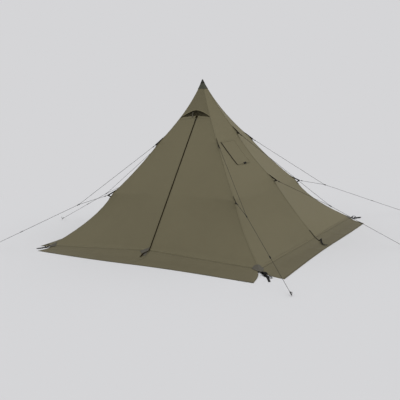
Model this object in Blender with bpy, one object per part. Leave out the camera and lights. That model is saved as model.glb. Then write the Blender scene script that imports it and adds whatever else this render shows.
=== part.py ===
"""A four-sided pyramid tent on one centre pole, pitched on level ground.

Metres, +Z up. The origin is on the ground under the pole. The door is at -Y and the stove flap at +X.
"""
import math

import bmesh
import bpy
import numpy as np
from mathutils import Matrix, Vector

# Overall pitch: reaches and sags of the ridges and middle seams from the peak down to the hem
HEIGHT = 2.20
RIDGE_REACHES = (0.0, 0.462, 0.961, 1.600)
RIDGE_PULL_SHARES = (0.6195, 0.3082)
RIDGE_HEM_Z = 0.020
RIDGE_SAGS = (0.046, 0.021, 0.085)
MIDDLE_REACHES = (0.0, 0.491, 1.035, 1.648)
MIDDLE_PULL_SHARES = (0.6755, 0.3782)
MIDDLE_HEM_Z = 0.048
MIDDLE_SAGS = (0.024, 0.038, 0.020)

# Cloth and seams
CLOTH = 0.0020
SEAM_GAP = 0.0003
LAYER_GAP = 0.0005
PANEL_TOP_DROP = 0.040

# Front: door, header and vent
HEADER_DROP = 0.520
HEADER_REACH = 0.202
DOOR_HEM_Z = 0.070
DOOR_HEM_REACH = 1.496
ZIP_TOP_DROP = 0.010
FOLD_TOP_X = 0.012
FOLD_HEM_X = 1.088
LEAF_TOP_WIDTH = 0.012
LEAF_TOP_GAP = 0.005
AXIS_PROUD = 0.004
LIP_MIDDLE_RISE = 0.090
LIP_END_RISE = 0.012
LIP_BULGE = 0.040
MESH_TOP_DROP = 0.150
MESH_CLOTH = 0.0015
MESH_SET_BACK = 0.008
PROP_LENGTH = 0.072
PROP_TAIL = 0.016
PROP_WIDTH = 0.012
PROP_THICKNESS = 0.003
PROP_X = 0.060
PROP_RISE = 0.010
PROP_TILT = math.radians(17)

# Zip
ZIP_TAPE = 0.010
ZIP_COIL = 0.004
ZIP_COIL_HEIGHT = 0.002
ZIP_HEM_CLEAR = 0.006
ZIP_STOP = 0.030
SLIDER_LENGTH = 0.028
SLIDER_WIDTH = 0.015
SLIDER_HEIGHT = 0.0055
SLIDER_REST_DROP = 0.008
PULL_LENGTH = 0.042
PULL_WIDTH = 0.007
PULL_THICKNESS = 0.0015
PULL_TAIL = 0.0015

# Mud skirt, for each side: widths and flares at its start, its middle and its end, anticlockwise
SKIRT_WIDTHS = {
    "right": (0.390, 0.310, 0.285),
    "back": (0.220, 0.320, 0.450),
    "left": (0.3936, 0.230, 0.180),
    "front": (0.225, 0.320, 0.450),
}
SKIRT_FLARES = {"right": (0.235, -0.250), "back": (-0.250, 0.165), "left": (0.235, 0.040), "front": (0.050, 0.165)}
SKIRT_END_INSET = 0.035
SKIRT_DRAPE_SHARE = 0.40
SKIRT_SPLIT_INSET = 0.078
SKIRT_SPLIT_GAP = 0.006

# Stove jack and its flap
FLAP_TOP_DROP = 0.848
FLAP_HEIGHT = 0.300
FLAP_NEAR = 0.400
FLAP_FAR = 0.140
JACK_MARGIN = 0.014
JACK_GAP = 0.0011
JACK_CLOTH = 0.0015
FLAP_AXIS_PROUD = 0.003

# Centre pole
POLE_LOWER_RADIUS = 0.016
POLE_UPPER_RADIUS = 0.014
POLE_JOINT_SHARE = 0.477
POLE_PIN_LENGTH = 0.096
POLE_PIN_RADIUS = 0.004
FOOT_RADIUS = 0.030
FOOT_HEIGHT = 0.035
FOOT_SOCKET = 0.020
FOOT_WALL = 0.003
POLE_WALL = 0.0012
POLE_OVERLAP = 0.150
COLLAR_RADIUS = 0.019
COLLAR_HEIGHT = 0.050

# Peak cap
CAP_DROP = 0.130
CAP_CEILING_DROP = 0.024
CAP_CLOTH = 0.0020
CAP_GAP = 0.0010

# Seam tapes and tie-outs
TAPE_ARM = 0.014
TAPE_CLOTH = 0.0016
TAPE_GAP = 0.0012
TAPE_START = 0.008
TIE_BASE = 0.090
TIE_REACH = 0.080
TIE_LEG = 0.014
TIE_PLATE = 0.003
TIE_SINK = 0.0012
STRAP_ARM = 0.011
STRAP_Z = 0.003
CORNER_STRAP = 0.050
LONG_STRAP = 0.190
LONG_STRAP_CORNER = "front_right"

# Guy lines, runners and pegs
CORD_RADIUS = 0.0022
BEAD_RADIUS = 0.007
RIDGE_JUNCTION_SHARES = (0.81, 0.2564)
RIDGE_PEG_OUT = 0.688
MIDDLE_JUNCTION_SHARES = (1.126, 0.2245)
MIDDLE_PEG_OUT = 1.202
RUNNER_LENGTH = 0.046
RUNNER_WIDTH = 0.014
RUNNER_THICKNESS = 0.007
RUNNER_BORE = 0.0028
RUNNER_FROM_PEG = 0.650
PEG_RADIUS = 0.003
PEG_HEIGHT = 0.046
PEG_HOOK = 0.009
PEG_LOOP_Z = 0.016

# Corner fittings
BUCKLE_LENGTH = 0.046
BUCKLE_WIDTH = 0.038
BUCKLE_THICKNESS = 0.005
BUCKLE_BAR = 0.006
BUCKLE_TONGUE = 0.070
LONG_TONGUE = 0.200
TONGUE_WIDTH = 0.022
TONGUE_THICKNESS = 0.002
BUCKLE_CLEAR = 0.0012

# How finely curved work is cut
PANEL_ROWS = 18
PANEL_COLUMNS = 4
FRONT_COLUMNS = 2
LEAF_COLUMNS = 3
FLAP_COLUMNS = 2
HOOD_COLUMNS = 12
HOOD_ROWS = 7
ROW_CLEAR_SHARE = 0.010
SKIRT_COLUMNS = 10
SKIRT_ROWS = 4
ROUND_SIDES = 24

SIDES = {"right": 0.0, "back": math.pi / 2, "left": math.pi, "front": -math.pi / 2}
DIAGONALS = {
    "rear_right": math.pi / 4,
    "rear_left": 3 * math.pi / 4,
    "front_left": -3 * math.pi / 4,
    "front_right": -math.pi / 4,
}
EDGE = SEAM_GAP / 2
STEP = SEAM_GAP / HEIGHT
RIDGE_UPPER_Z, RIDGE_LOWER_Z = (HEIGHT * share for share in RIDGE_PULL_SHARES)
MIDDLE_UPPER_Z, MIDDLE_LOWER_Z = (HEIGHT * share for share in MIDDLE_PULL_SHARES)
PANEL_TOP_Z = HEIGHT - PANEL_TOP_DROP
HEADER_Z = HEIGHT - HEADER_DROP
ZIP_TOP_Z = HEADER_Z - ZIP_TOP_DROP
LIP_MIDDLE_Z = HEADER_Z + LIP_MIDDLE_RISE
LIP_END_Z = HEADER_Z + LIP_END_RISE
MESH_TOP_Z = HEIGHT - MESH_TOP_DROP
CORNER_REACH = RIDGE_REACHES[3]
SKIRT_HEM_LATERAL = CORNER_REACH - SKIRT_END_INSET
SKIRT_SPLIT = FOLD_HEM_X - SKIRT_SPLIT_INSET
FLAP_TOP_Z = HEIGHT - FLAP_TOP_DROP
FLAP_HEM_Z = FLAP_TOP_Z - FLAP_HEIGHT
JACK_TOP_Z = FLAP_TOP_Z - JACK_MARGIN
JACK_HEM_Z = FLAP_HEM_Z + JACK_MARGIN
CAP_HEM_Z = HEIGHT - CAP_DROP
CAP_CEILING_Z = HEIGHT - CAP_CEILING_DROP
POLE_JOINT_Z = HEIGHT * POLE_JOINT_SHARE
POLE_SHOULDER_Z = CAP_CEILING_Z - POLE_PIN_LENGTH
RIDGE_JUNCTION = (CORNER_REACH * RIDGE_JUNCTION_SHARES[0], HEIGHT * RIDGE_JUNCTION_SHARES[1])
RIDGE_PEG_REACH = CORNER_REACH + RIDGE_PEG_OUT
MIDDLE_JUNCTION = (MIDDLE_REACHES[3] * MIDDLE_JUNCTION_SHARES[0], HEIGHT * MIDDLE_JUNCTION_SHARES[1])
MIDDLE_PEG_REACH = MIDDLE_REACHES[3] + MIDDLE_PEG_OUT

COLOURS = {
    "cloth": ((0.150, 0.130, 0.085, 1.0), 0.80, 0.0),
    "skirt": ((0.125, 0.110, 0.068, 1.0), 0.75, 0.0),
    "cap": ((0.105, 0.105, 0.085, 1.0), 0.70, 0.0),
    "mesh": ((0.015, 0.015, 0.014, 1.0), 0.85, 0.0),
    "tape": ((0.115, 0.100, 0.065, 1.0), 0.75, 0.0),
    "zip": ((0.030, 0.027, 0.020, 1.0), 0.60, 0.0),
    "metal": ((0.360, 0.350, 0.330, 1.0), 0.35, 1.0),
    "plastic": ((0.012, 0.012, 0.012, 1.0), 0.45, 0.0),
    "cord": ((0.070, 0.065, 0.050, 1.0), 0.80, 0.0),
    "jack": ((0.360, 0.350, 0.320, 1.0), 0.70, 0.0),
    "rubber": ((0.015, 0.015, 0.015, 1.0), 0.85, 0.0),
    "aluminium": ((0.420, 0.420, 0.430, 1.0), 0.30, 1.0),
}


# Helpers for objects and meshes

def clear_scene():
    """Removes whatever the file held before."""
    for old in list(bpy.data.objects):
        bpy.data.objects.remove(old, do_unlink=True)


def finish(name, colour):
    """A Principled material of the named colour, kept for one object."""
    base, roughness, metallic = COLOURS[colour]
    material = bpy.data.materials.new(name + "_" + colour)
    material.use_nodes = True
    shader = material.node_tree.nodes["Principled BSDF"]
    shader.inputs["Base Color"].default_value = base
    shader.inputs["Roughness"].default_value = roughness
    shader.inputs["Metallic"].default_value = metallic
    return material


def add_object(name, mesh, colour, origin=(0.0, 0.0, 0.0)):
    """Links a mesh made in world places as an object whose origin is at the given point."""
    place = Vector(origin)
    mesh.transform(Matrix.Translation(-place))
    made = bpy.data.objects.new(name, mesh)
    made.location = place
    mesh.materials.append(finish(name, colour))
    bpy.context.collection.objects.link(made)
    return made


def closed_mesh(name, points, faces):
    """A mesh from points and faces, with every face turned outwards."""
    work = bmesh.new()
    corners = [work.verts.new(Vector(p)) for p in points]
    for face in faces:
        work.faces.new([corners[i] for i in face])
    bmesh.ops.recalc_face_normals(work, faces=work.faces)
    mesh = bpy.data.meshes.new(name)
    work.to_mesh(mesh)
    work.free()
    return mesh


def sheet_mesh(name, outer, inner):
    """A closed sheet between two grids of points, rows by columns, joined by a rim.

    Each cell is split along the diagonal that passes nearer to the pole, so that layers stay parallel.
    """
    rows, columns = outer.shape[:2]
    points = np.concatenate([outer.reshape(-1, 3), inner.reshape(-1, 3)])
    behind = rows * columns
    faces = []
    for i in range(rows - 1):
        for j in range(columns - 1):
            a, b = i * columns + j, i * columns + j + 1
            c, d = b + columns, a + columns
            one, other = (np.hypot(*(points[p] + points[q])[:2]) for p, q in ((a, c), (b, d)))
            pair = ((a, b, c), (a, c, d)) if one < other else ((a, b, d), (b, c, d))
            faces += pair
            faces += [tuple(corner + behind for corner in reversed(face)) for face in pair]
    top = list(range(columns))
    right = [i * columns + columns - 1 for i in range(rows)]
    bottom = [(rows - 1) * columns + j for j in range(columns)][::-1]
    left = [i * columns for i in range(rows)][::-1]
    rim = top + right[1:] + bottom[1:] + left[1:]
    for a, b in zip(rim[:-1], rim[1:]):
        faces.append((b, a, a + behind, b + behind))
    return closed_mesh(name, points, faces)


def prism_mesh(name, outline, origin, across, along, depth_axis, depth):
    """Extrudes a flat outline, given in the across and along directions, by a depth."""
    origin, across, along = Vector(origin), Vector(across), Vector(along)
    shift = Vector(depth_axis) * depth
    low = [origin + across * p + along * q for p, q in outline]
    high = [p + shift for p in low]
    count = len(low)
    faces = [tuple(range(count)), tuple(range(2 * count - 1, count - 1, -1))]
    faces += [(i, (i + 1) % count, (i + 1) % count + count, i + count) for i in range(count)]
    return closed_mesh(name, low + high, faces)


def turned_mesh(name, profile, ring=False):
    """A solid turned about Z from (radius, height) points, from axis to axis or as a closed ring."""
    work = bmesh.new()
    corners = [work.verts.new((r, 0.0, z)) for r, z in profile]
    edges = [work.edges.new(pair) for pair in zip(corners[:-1], corners[1:])]
    if ring:
        edges.append(work.edges.new((corners[-1], corners[0])))
    bmesh.ops.spin(
        work, geom=corners + edges, cent=(0, 0, 0), axis=(0, 0, 1), angle=2 * math.pi,
        steps=ROUND_SIDES, use_merge=True,
    )
    bmesh.ops.remove_doubles(work, verts=work.verts, dist=SEAM_GAP / 10)
    bmesh.ops.recalc_face_normals(work, faces=work.faces)
    mesh = bpy.data.meshes.new(name)
    work.to_mesh(mesh)
    work.free()
    mesh.shade_smooth()
    mesh.set_sharp_from_angle(angle=math.radians(35))
    return mesh


def tube_mesh(name, route, radius, resolution=2):
    """A round tube with filled ends along a route of points."""
    curve = bpy.data.curves.new(name + "_route", "CURVE")
    curve.dimensions = "3D"
    curve.bevel_depth = radius
    curve.bevel_resolution = resolution
    curve.use_fill_caps = True
    line = curve.splines.new("POLY")
    line.points.add(len(route) - 1)
    for point, place in zip(line.points, route):
        point.co = (*place, 1.0)
    holder = bpy.data.objects.new(name + "_route", curve)
    bpy.context.collection.objects.link(holder)
    bpy.context.view_layer.update()
    mesh = bpy.data.meshes.new_from_object(holder.evaluated_get(bpy.context.evaluated_depsgraph_get()))
    bpy.data.objects.remove(holder, do_unlink=True)
    work = bmesh.new()
    work.from_mesh(mesh)
    bmesh.ops.remove_doubles(work, verts=work.verts, dist=radius / 100)
    bmesh.ops.recalc_face_normals(work, faces=work.faces)
    work.to_mesh(mesh)
    work.free()
    return mesh


def combine(target, meshes, operation="UNION"):
    """Joins meshes to an object, or cuts them out of it, with Booleans whose helpers stay hidden."""
    for mesh in meshes:
        number = len(target.modifiers)
        helper = bpy.data.objects.new(f"{target.name}_helper_{number}", mesh)
        bpy.context.collection.objects.link(helper)
        helper.hide_render = True
        helper.display_type = "WIRE"
        step = target.modifiers.new(f"combine_{number}", "BOOLEAN")
        step.operation = operation
        step.object = helper


# The canopy's surface

def turned(points, angle):
    """Turns an array of points about Z."""
    cosine, sine = math.cos(angle), math.sin(angle)
    x, y, z = points[..., 0], points[..., 1], points[..., 2]
    return np.stack([x * cosine - y * sine, x * sine + y * cosine, z], -1)


def drawn_in(z, heights, reaches, sags):
    """Reach at height z of a seam pulled at a few points and drawn in between them."""
    z = np.asarray(z, float)
    reach = np.interp(z, heights[::-1], reaches[::-1])
    for high, low, sag in zip(heights[:-1], heights[1:], sags):
        share = np.clip((high - z) / (high - low), 0, 1)
        reach = reach - sag * 4 * share * (1 - share)
    return reach


def ridge_reach(z):
    """How far a ridge stands from each middle plane at height z."""
    return drawn_in(z, (HEIGHT, RIDGE_UPPER_Z, RIDGE_LOWER_Z, RIDGE_HEM_Z), RIDGE_REACHES, RIDGE_SAGS)


def middle_reach(z):
    """How far a side's middle seam stands out at height z."""
    heights = (HEIGHT, MIDDLE_UPPER_Z, MIDDLE_LOWER_Z, MIDDLE_HEM_Z)
    return drawn_in(z, heights, MIDDLE_REACHES, MIDDLE_SAGS)


def zip_reach(z):
    """How far the straight line of the zip stands out at height z."""
    return np.interp(z, (DOOR_HEM_Z, HEADER_Z, HEIGHT), (DOOR_HEM_REACH, HEADER_REACH, 0.0))


def hem_height(side):
    """Height of the hem at a side's middle."""
    return DOOR_HEM_Z if side == "front" else MIDDLE_HEM_Z


def share_at(z, hem):
    """Share of the way down from the peak to a hem at which a seam is at height z."""
    return (HEIGHT - z) / (HEIGHT - hem)


def middle_rail(side, v, offset):
    """Points of a side's middle seam in the side's own frame, at shares v of its height."""
    z = HEIGHT - v * (HEIGHT - hem_height(side))
    reach = zip_reach(z) if side == "front" else middle_reach(z)
    return np.stack([reach + offset, np.zeros_like(z), z], -1)


def ridge_rail(v, sign, offset):
    """Points of the ridge on the plus or minus hand of a side, in the side's own frame."""
    z = HEIGHT - v * (HEIGHT - RIDGE_HEM_Z)
    reach = ridge_reach(z) + offset
    return np.stack([reach, sign * reach, z], -1)


def surface(side, u, v, offset=0.0, bulge=0.0):
    """World points of a side; u runs from -1 at one ridge over 0 at the middle to 1 at the other."""
    u, v = np.broadcast_arrays(np.asarray(u, float), np.asarray(v, float))
    middle = middle_rail(side, v, offset)
    ridge = ridge_rail(v, np.where(u < 0, -1.0, 1.0), offset)
    points = middle + (ridge - middle) * np.abs(u)[..., None]
    points[..., 0] += bulge
    return turned(points, SIDES[side])


def reach_at(v):
    """How far the ridges stand from the middle plane at shares v of the height."""
    return ridge_reach(HEIGHT - v * (HEIGHT - RIDGE_HEM_Z))


def lateral_share(lateral, v):
    """The u at which a row at share v lies a given distance from the side's middle plane."""
    return np.clip(lateral / reach_at(v), -1, 1)


def row_shares(top=PANEL_TOP_Z):
    """Shares of the height at which every panel, tape and patch has its rows, from a height down."""
    steps = np.linspace(share_at(CAP_HEM_Z, RIDGE_HEM_Z), 1.0, PANEL_ROWS)
    own = [share_at(z, RIDGE_HEM_Z) for z in (PANEL_TOP_Z, FLAP_TOP_Z, FLAP_HEM_Z, JACK_TOP_Z, JACK_HEM_Z)]
    front = [share_at(HEADER_Z, DOOR_HEM_Z), zip_top_share() - STEP, zip_top_share()]
    front += [leaf_top_share() - STEP, leaf_top_share(), leaf_top_share() + LEAF_TOP_GAP / HEIGHT]
    steps = [v for v in steps if min(abs(v - w) for w in own + front) > ROW_CLEAR_SHARE]
    rows = np.array(sorted(steps + own + front))
    return rows[rows >= share_at(top, RIDGE_HEM_Z) - STEP / 2]


def ramp_between(start, end, columns):
    """Rows of shares that run evenly from one array to another."""
    return start[:, None] + (end - start)[:, None] * np.linspace(0, 1, columns + 1)


def conforming(name, side, u, v, low, high):
    """A closed sheet that follows a side between two offsets; u has a row for each v."""
    rows = np.repeat(v[:, None], u.shape[1], 1)
    return sheet_mesh(name, surface(side, u, rows, high), surface(side, u, rows, low))


def add_half_panel(name, side, sign):
    """One half of a plain side, from the middle seam to a ridge."""
    v = row_shares()
    reach = reach_at(v)
    u = sign * ramp_between(EDGE / reach, 1 - math.sqrt(2) * EDGE / reach, PANEL_COLUMNS)
    add_object(name, conforming(name, side, u, v, -CLOTH, 0.0), "cloth")


# Front: fixed parts, door leaves and vent

def zip_top_share():
    """Share of the height at which the zip starts."""
    return share_at(ZIP_TOP_Z, DOOR_HEM_Z)


def fold_lateral(v):
    """Distance of the door's fold from the middle plane at share v; it is straight seen from the front."""
    return FOLD_TOP_X + (FOLD_HEM_X - FOLD_TOP_X) * (v - zip_top_share()) / (1 - zip_top_share())


def leaf_top_share():
    """Share of the height at which the leaf has its least width beside the zip."""
    need = ZIP_TAPE + LEAF_TOP_WIDTH - FOLD_TOP_X
    return zip_top_share() + (1 - zip_top_share()) * need / (FOLD_HEM_X - FOLD_TOP_X)


def fold_axis(sign):
    """Two world points on the axis that a door leaf folds about, just proud of the cloth."""
    ends = []
    for v in (zip_top_share(), 1.0):
        u = lateral_share(sign * fold_lateral(v), v)
        ends.append(surface("front", u, v, AXIS_PROUD))
    return Vector(ends[0]), Vector(ends[1])


def front_rows():
    """The rows of the front below the header."""
    rows = row_shares()
    return rows[rows > share_at(HEADER_Z, DOOR_HEM_Z) - STEP / 2]


def add_front_panel(name, sign):
    """The part of a front half that stays when the door opens, with its end of the mud skirt."""
    v = front_rows()
    inner_edge = np.where(v < zip_top_share(), EDGE, ZIP_TAPE + SEAM_GAP)
    inner_edge = np.where(v > leaf_top_share() - STEP / 2, fold_lateral(v) + EDGE, inner_edge)
    reach = reach_at(v)
    u = sign * ramp_between(inner_edge / reach, 1 - math.sqrt(2) * EDGE / reach, FRONT_COLUMNS)
    made = add_object(name, conforming(name, "front", u, v, -CLOTH, 0.0), "cloth")
    first = (sign * (FOLD_HEM_X + SKIRT_SPLIT_GAP), sign * (SKIRT_SPLIT + SKIRT_SPLIT_GAP))
    last = (sign * SKIRT_HEM_LATERAL, sign * SKIRT_HEM_LATERAL)
    skirt = skirt_mesh(name + "_skirt", "front", first, last, LAYER_GAP + CLOTH)
    combine(made, [skirt])


def add_leaf(name, sign):
    """A door leaf: the front half between the zip and the fold."""
    axis_top, _ = fold_axis(sign)
    v = front_rows()
    v = v[v > leaf_top_share() + STEP / 2]
    reach = reach_at(v)
    u = sign * ramp_between((ZIP_TAPE + SEAM_GAP) / reach, (fold_lateral(v) - EDGE) / reach, LEAF_COLUMNS)
    add_object(name, conforming(name, "front", u, v, -CLOTH, 0.0), "cloth", axis_top)


def hood_grid(offset):
    """Points of the vent hood: down from the peak to an arched lip that stands proud in the middle."""
    u = np.linspace(-1, 1, HOOD_COLUMNS + 1)
    lip_z = LIP_END_Z + (LIP_MIDDLE_Z - LIP_END_Z) * (1 - u**2)
    top, hem, lip = (share_at(z, RIDGE_HEM_Z) for z in (PANEL_TOP_Z, CAP_HEM_Z, lip_z))
    w = np.linspace(0, 1, HOOD_ROWS)[:, None]
    v = np.concatenate([np.full((1, len(u)), top), hem + (lip - hem) * w])
    bulge = LIP_BULGE * (1 - u**2) ** 2 * np.concatenate([[[0.0]], w]) ** 2
    u = u * (1 - math.sqrt(2) * EDGE / reach_at(v))
    return surface("front", u, v, offset, bulge)


def add_vent():
    """The hood, the mesh behind the opening and the prop under the lip."""
    add_object("vent_hood", sheet_mesh("vent_hood", hood_grid(0.0), hood_grid(-CLOTH)), "cloth")
    v = np.linspace(share_at(MESH_TOP_Z, DOOR_HEM_Z), share_at(HEADER_Z, DOOR_HEM_Z), HOOD_ROWS)
    v = np.append(v, zip_top_share() - STEP)
    end = 1 - math.sqrt(2) * EDGE / reach_at(v)
    u = ramp_between(-end, end, 2 * FRONT_COLUMNS)
    set_back = np.append(np.full(HOOD_ROWS - 1, MESH_SET_BACK), [0.0, 0.0])[:, None]
    front = -CLOTH - LAYER_GAP - set_back
    mesh = conforming("vent_mesh", "front", u, v, front - MESH_CLOTH, front)
    add_object("vent_mesh", mesh, "mesh")
    pivot, along, _ = prop_frame()
    half = PROP_WIDTH / 2
    turns = [math.pi * k / 8 for k in range(9)]
    outline = [(half * math.cos(t), PROP_LENGTH - half + half * math.sin(t)) for t in turns]
    outline += [(-half, -PROP_TAIL), (half, -PROP_TAIL)]
    out = Vector((1, 0, 0)).cross(along)
    mesh = prism_mesh("vent_prop", outline, pivot, (1, 0, 0), along, out, PROP_THICKNESS)
    add_object("vent_prop", mesh, "plastic", pivot)


def prop_frame():
    """Pivot, direction and hinge axis of the vent prop."""
    along = Vector((0, math.sin(PROP_TILT), math.cos(PROP_TILT)))
    z = HEADER_Z + PROP_RISE
    low = z - PROP_TAIL * along.z
    u = lateral_share(-PROP_X - PROP_WIDTH / 2, share_at(low, DOOR_HEM_Z))
    hem = DOOR_HEM_Z + (RIDGE_HEM_Z - DOOR_HEM_Z) * abs(u)
    seat = surface("front", u, share_at(low, hem))
    pivot = Vector((-PROP_X, seat[1] - SEAM_GAP + PROP_TAIL * along.y, z))
    return pivot, along, Vector((0, -along.z, along.y))


# Zip

def zip_frame():
    """Top point of the zip, its direction down the front and the outward normal of its line."""
    top = Vector((0, -float(zip_reach(ZIP_TOP_Z)), ZIP_TOP_Z))
    hem = Vector((0, -DOOR_HEM_REACH, DOOR_HEM_Z))
    down = (hem - top).normalized()
    return top, down, Vector((1, 0, 0)).cross(-down), (hem - top).length


def pull_pivot():
    """The point on the slider that its pull swings about."""
    top, down, out, _ = zip_frame()
    rise = SLIDER_HEIGHT + PULL_TAIL + PULL_THICKNESS / 2
    return top + down * (SLIDER_REST_DROP + SLIDER_LENGTH / 2) + out * rise


def add_zip():
    """Both halves of the zip, the slider at the top of its run and its pull."""
    top, down, out, length = zip_frame()
    pull_low = SLIDER_REST_DROP + SLIDER_LENGTH / 2 + PULL_LENGTH
    stop = length - ZIP_STOP - SLIDER_LENGTH
    runs = (("zip_left", -1, pull_low, stop), ("zip_right", 1, 0.0, length - ZIP_HEM_CLEAR + ZIP_COIL))
    for name, sign, high, low in runs:
        near, coil, far = EDGE, ZIP_COIL, ZIP_TAPE
        outline = [(near, -CLOTH), (far, -CLOTH), (far, 0), (coil, 0)]
        outline += [(coil, ZIP_COIL_HEIGHT), (near, ZIP_COIL_HEIGHT)]
        outline = [(sign * p, q) for p, q in outline]
        axis_top, _ = fold_axis(sign)
        start = top + down * (high + ZIP_COIL)
        mesh = prism_mesh(name, outline, start, (1, 0, 0), out, down, low - high - 2 * ZIP_COIL)
        add_object(name, mesh, "zip", axis_top)
    clear = SEAM_GAP
    half, crown = SLIDER_WIDTH / 2, SLIDER_HEIGHT
    slot, roof = ZIP_COIL + clear, ZIP_COIL_HEIGHT + clear
    outline = [(-half, clear), (-slot, clear), (-slot, roof), (slot, roof), (slot, clear), (half, clear)]
    outline += [(half, crown - half / 4), (half - half / 4, crown), (-half + half / 4, crown)]
    outline += [(-half, crown - half / 4)]
    start = top + down * SLIDER_REST_DROP
    mesh = prism_mesh("zip_slider", outline, start, (1, 0, 0), out, down, SLIDER_LENGTH)
    slider = add_object("zip_slider", mesh, "metal", start)
    pivot = pull_pivot()
    ears = []
    for place in (-PULL_WIDTH / 2 - clear - PULL_THICKNESS, PULL_WIDTH / 2 + clear):
        base = pivot + Vector((place, 0, 0))
        outline = [(-PULL_TAIL, -2 * PULL_TAIL), (PULL_TAIL, -2 * PULL_TAIL), (PULL_TAIL, PULL_TAIL)]
        outline.append((-PULL_TAIL, PULL_TAIL))
        ears.append(prism_mesh("ear", outline, base, down, out, (1, 0, 0), PULL_THICKNESS))
    combine(slider, ears)
    half = PULL_WIDTH / 2
    turns = [math.pi * k / 6 for k in range(7)]
    outline = [(half * math.cos(t), PULL_LENGTH - half + half * math.sin(t)) for t in turns]
    outline += [(-half, -PULL_TAIL), (half, -PULL_TAIL)]
    back = pivot - out * (PULL_THICKNESS / 2)
    mesh = prism_mesh("zip_pull", outline, back, (1, 0, 0), down, out, PULL_THICKNESS)
    add_object("zip_pull", mesh, "metal", pivot)


# Mud skirt

def skirt_shares():
    """Shares of the skirt's width at its rows, closer together where it falls to the ground."""
    return np.concatenate([np.linspace(0, SKIRT_DRAPE_SHARE, SKIRT_ROWS), [1.0]])


def skirt_points(side, lateral, q, height, lift=0.0):
    """World points of the skirt; lateral runs along the hem and q runs out from the hem to the edge."""
    lateral, q = np.broadcast_arrays(np.asarray(lateral, float), np.asarray(q, float))
    share = np.clip(np.abs(lateral) / CORNER_REACH, 0, 1)
    middle, middle_z = (DOOR_HEM_REACH, DOOR_HEM_Z) if side == "front" else (MIDDLE_REACHES[3], MIDDLE_HEM_Z)
    hem = middle + (CORNER_REACH - middle) * share
    hem_z = middle_z + (RIDGE_HEM_Z - middle_z) * share
    start_width, middle_width, end_width = SKIRT_WIDTHS[side]
    width = middle_width + (np.where(lateral < 0, start_width, end_width) - middle_width) * share**2
    edge = CORNER_REACH + width
    spread = 1 + np.where(lateral < 0, *SKIRT_FLARES[side]) / SKIRT_HEM_LATERAL * q * share**4
    fall = np.clip(1 - q / SKIRT_DRAPE_SHARE, 0, 1) ** 2
    start = hem - CLOTH
    z = height + (hem_z - LAYER_GAP - CLOTH + lift) * fall
    points = np.stack([start + (edge - start) * q, lateral * spread, z], -1)
    return turned(points, SIDES[side])


def skirt_mesh(name, side, first, last, lift=0.0):
    """A band of cloth from the hem down to the ground; each end is its place at the hem and at the edge."""
    q = skirt_shares()[:, None]
    start, end = (low + (far - low) * q for low, far in (first, last))
    laterals = start + (end - start) * np.linspace(0, 1, SKIRT_COLUMNS + 1)
    top = skirt_points(side, laterals, q, CLOTH, lift)
    low = skirt_points(side, laterals, q, 0.0, lift)
    return sheet_mesh(name, top, low)


def add_skirts():
    """A skirt on each side; the front one is split under the zip and rides on the door leaves."""
    full = SKIRT_HEM_LATERAL
    for side in ("right", "back", "left"):
        name = "skirt_" + side
        add_object(name, skirt_mesh(name, side, (-full, -full), (full, full)), "skirt")
    for hand, sign in (("left", -1), ("right", 1)):
        name = "skirt_front_" + hand
        axis_top, _ = fold_axis(sign)
        last = (sign * (FOLD_HEM_X - EDGE), sign * SKIRT_SPLIT)
        mesh = skirt_mesh(name, "front", (sign * EDGE, sign * EDGE), last)
        add_object(name, mesh, "skirt", axis_top)


# Stove jack and its flap

def rows_between(high_z, low_z):
    """The panel rows from one height down to another."""
    rows = row_shares()
    inside = (rows > share_at(high_z, RIDGE_HEM_Z) - STEP) & (rows < share_at(low_z, RIDGE_HEM_Z) + STEP)
    return rows[inside]


def patch_mesh(name, top_z, hem_z, near, far, low, high):
    """A four-sided patch on the front half of the right side."""
    v = rows_between(top_z, hem_z)
    reach = reach_at(v)
    return conforming(name, "right", ramp_between(-near / reach, -far / reach, FLAP_COLUMNS), v, low, high)


def flap_axis():
    """Two world points on the flap's hinge line, along its top edge."""
    v = share_at(FLAP_TOP_Z, RIDGE_HEM_Z)
    offset = JACK_GAP + JACK_CLOTH + JACK_GAP + CLOTH + FLAP_AXIS_PROUD
    near, far = (surface("right", lateral_share(-place, v), v, offset) for place in (FLAP_NEAR, FLAP_FAR))
    return Vector(near), Vector(far)


def add_stove_jack():
    """The heat-proof patch and the cloth flap that hangs over it."""
    top = JACK_GAP + JACK_CLOTH
    near, far = FLAP_NEAR - JACK_MARGIN, FLAP_FAR + JACK_MARGIN
    mesh = patch_mesh("stove_jack", JACK_TOP_Z, JACK_HEM_Z, near, far, JACK_GAP, top)
    add_object("stove_jack", mesh, "jack")
    low = top + JACK_GAP
    mesh = patch_mesh("stove_flap", FLAP_TOP_Z, FLAP_HEM_Z, FLAP_NEAR, FLAP_FAR, low, low + CLOTH)
    add_object("stove_flap", mesh, "cloth", flap_axis()[0])


# Centre pole and peak cap

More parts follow.
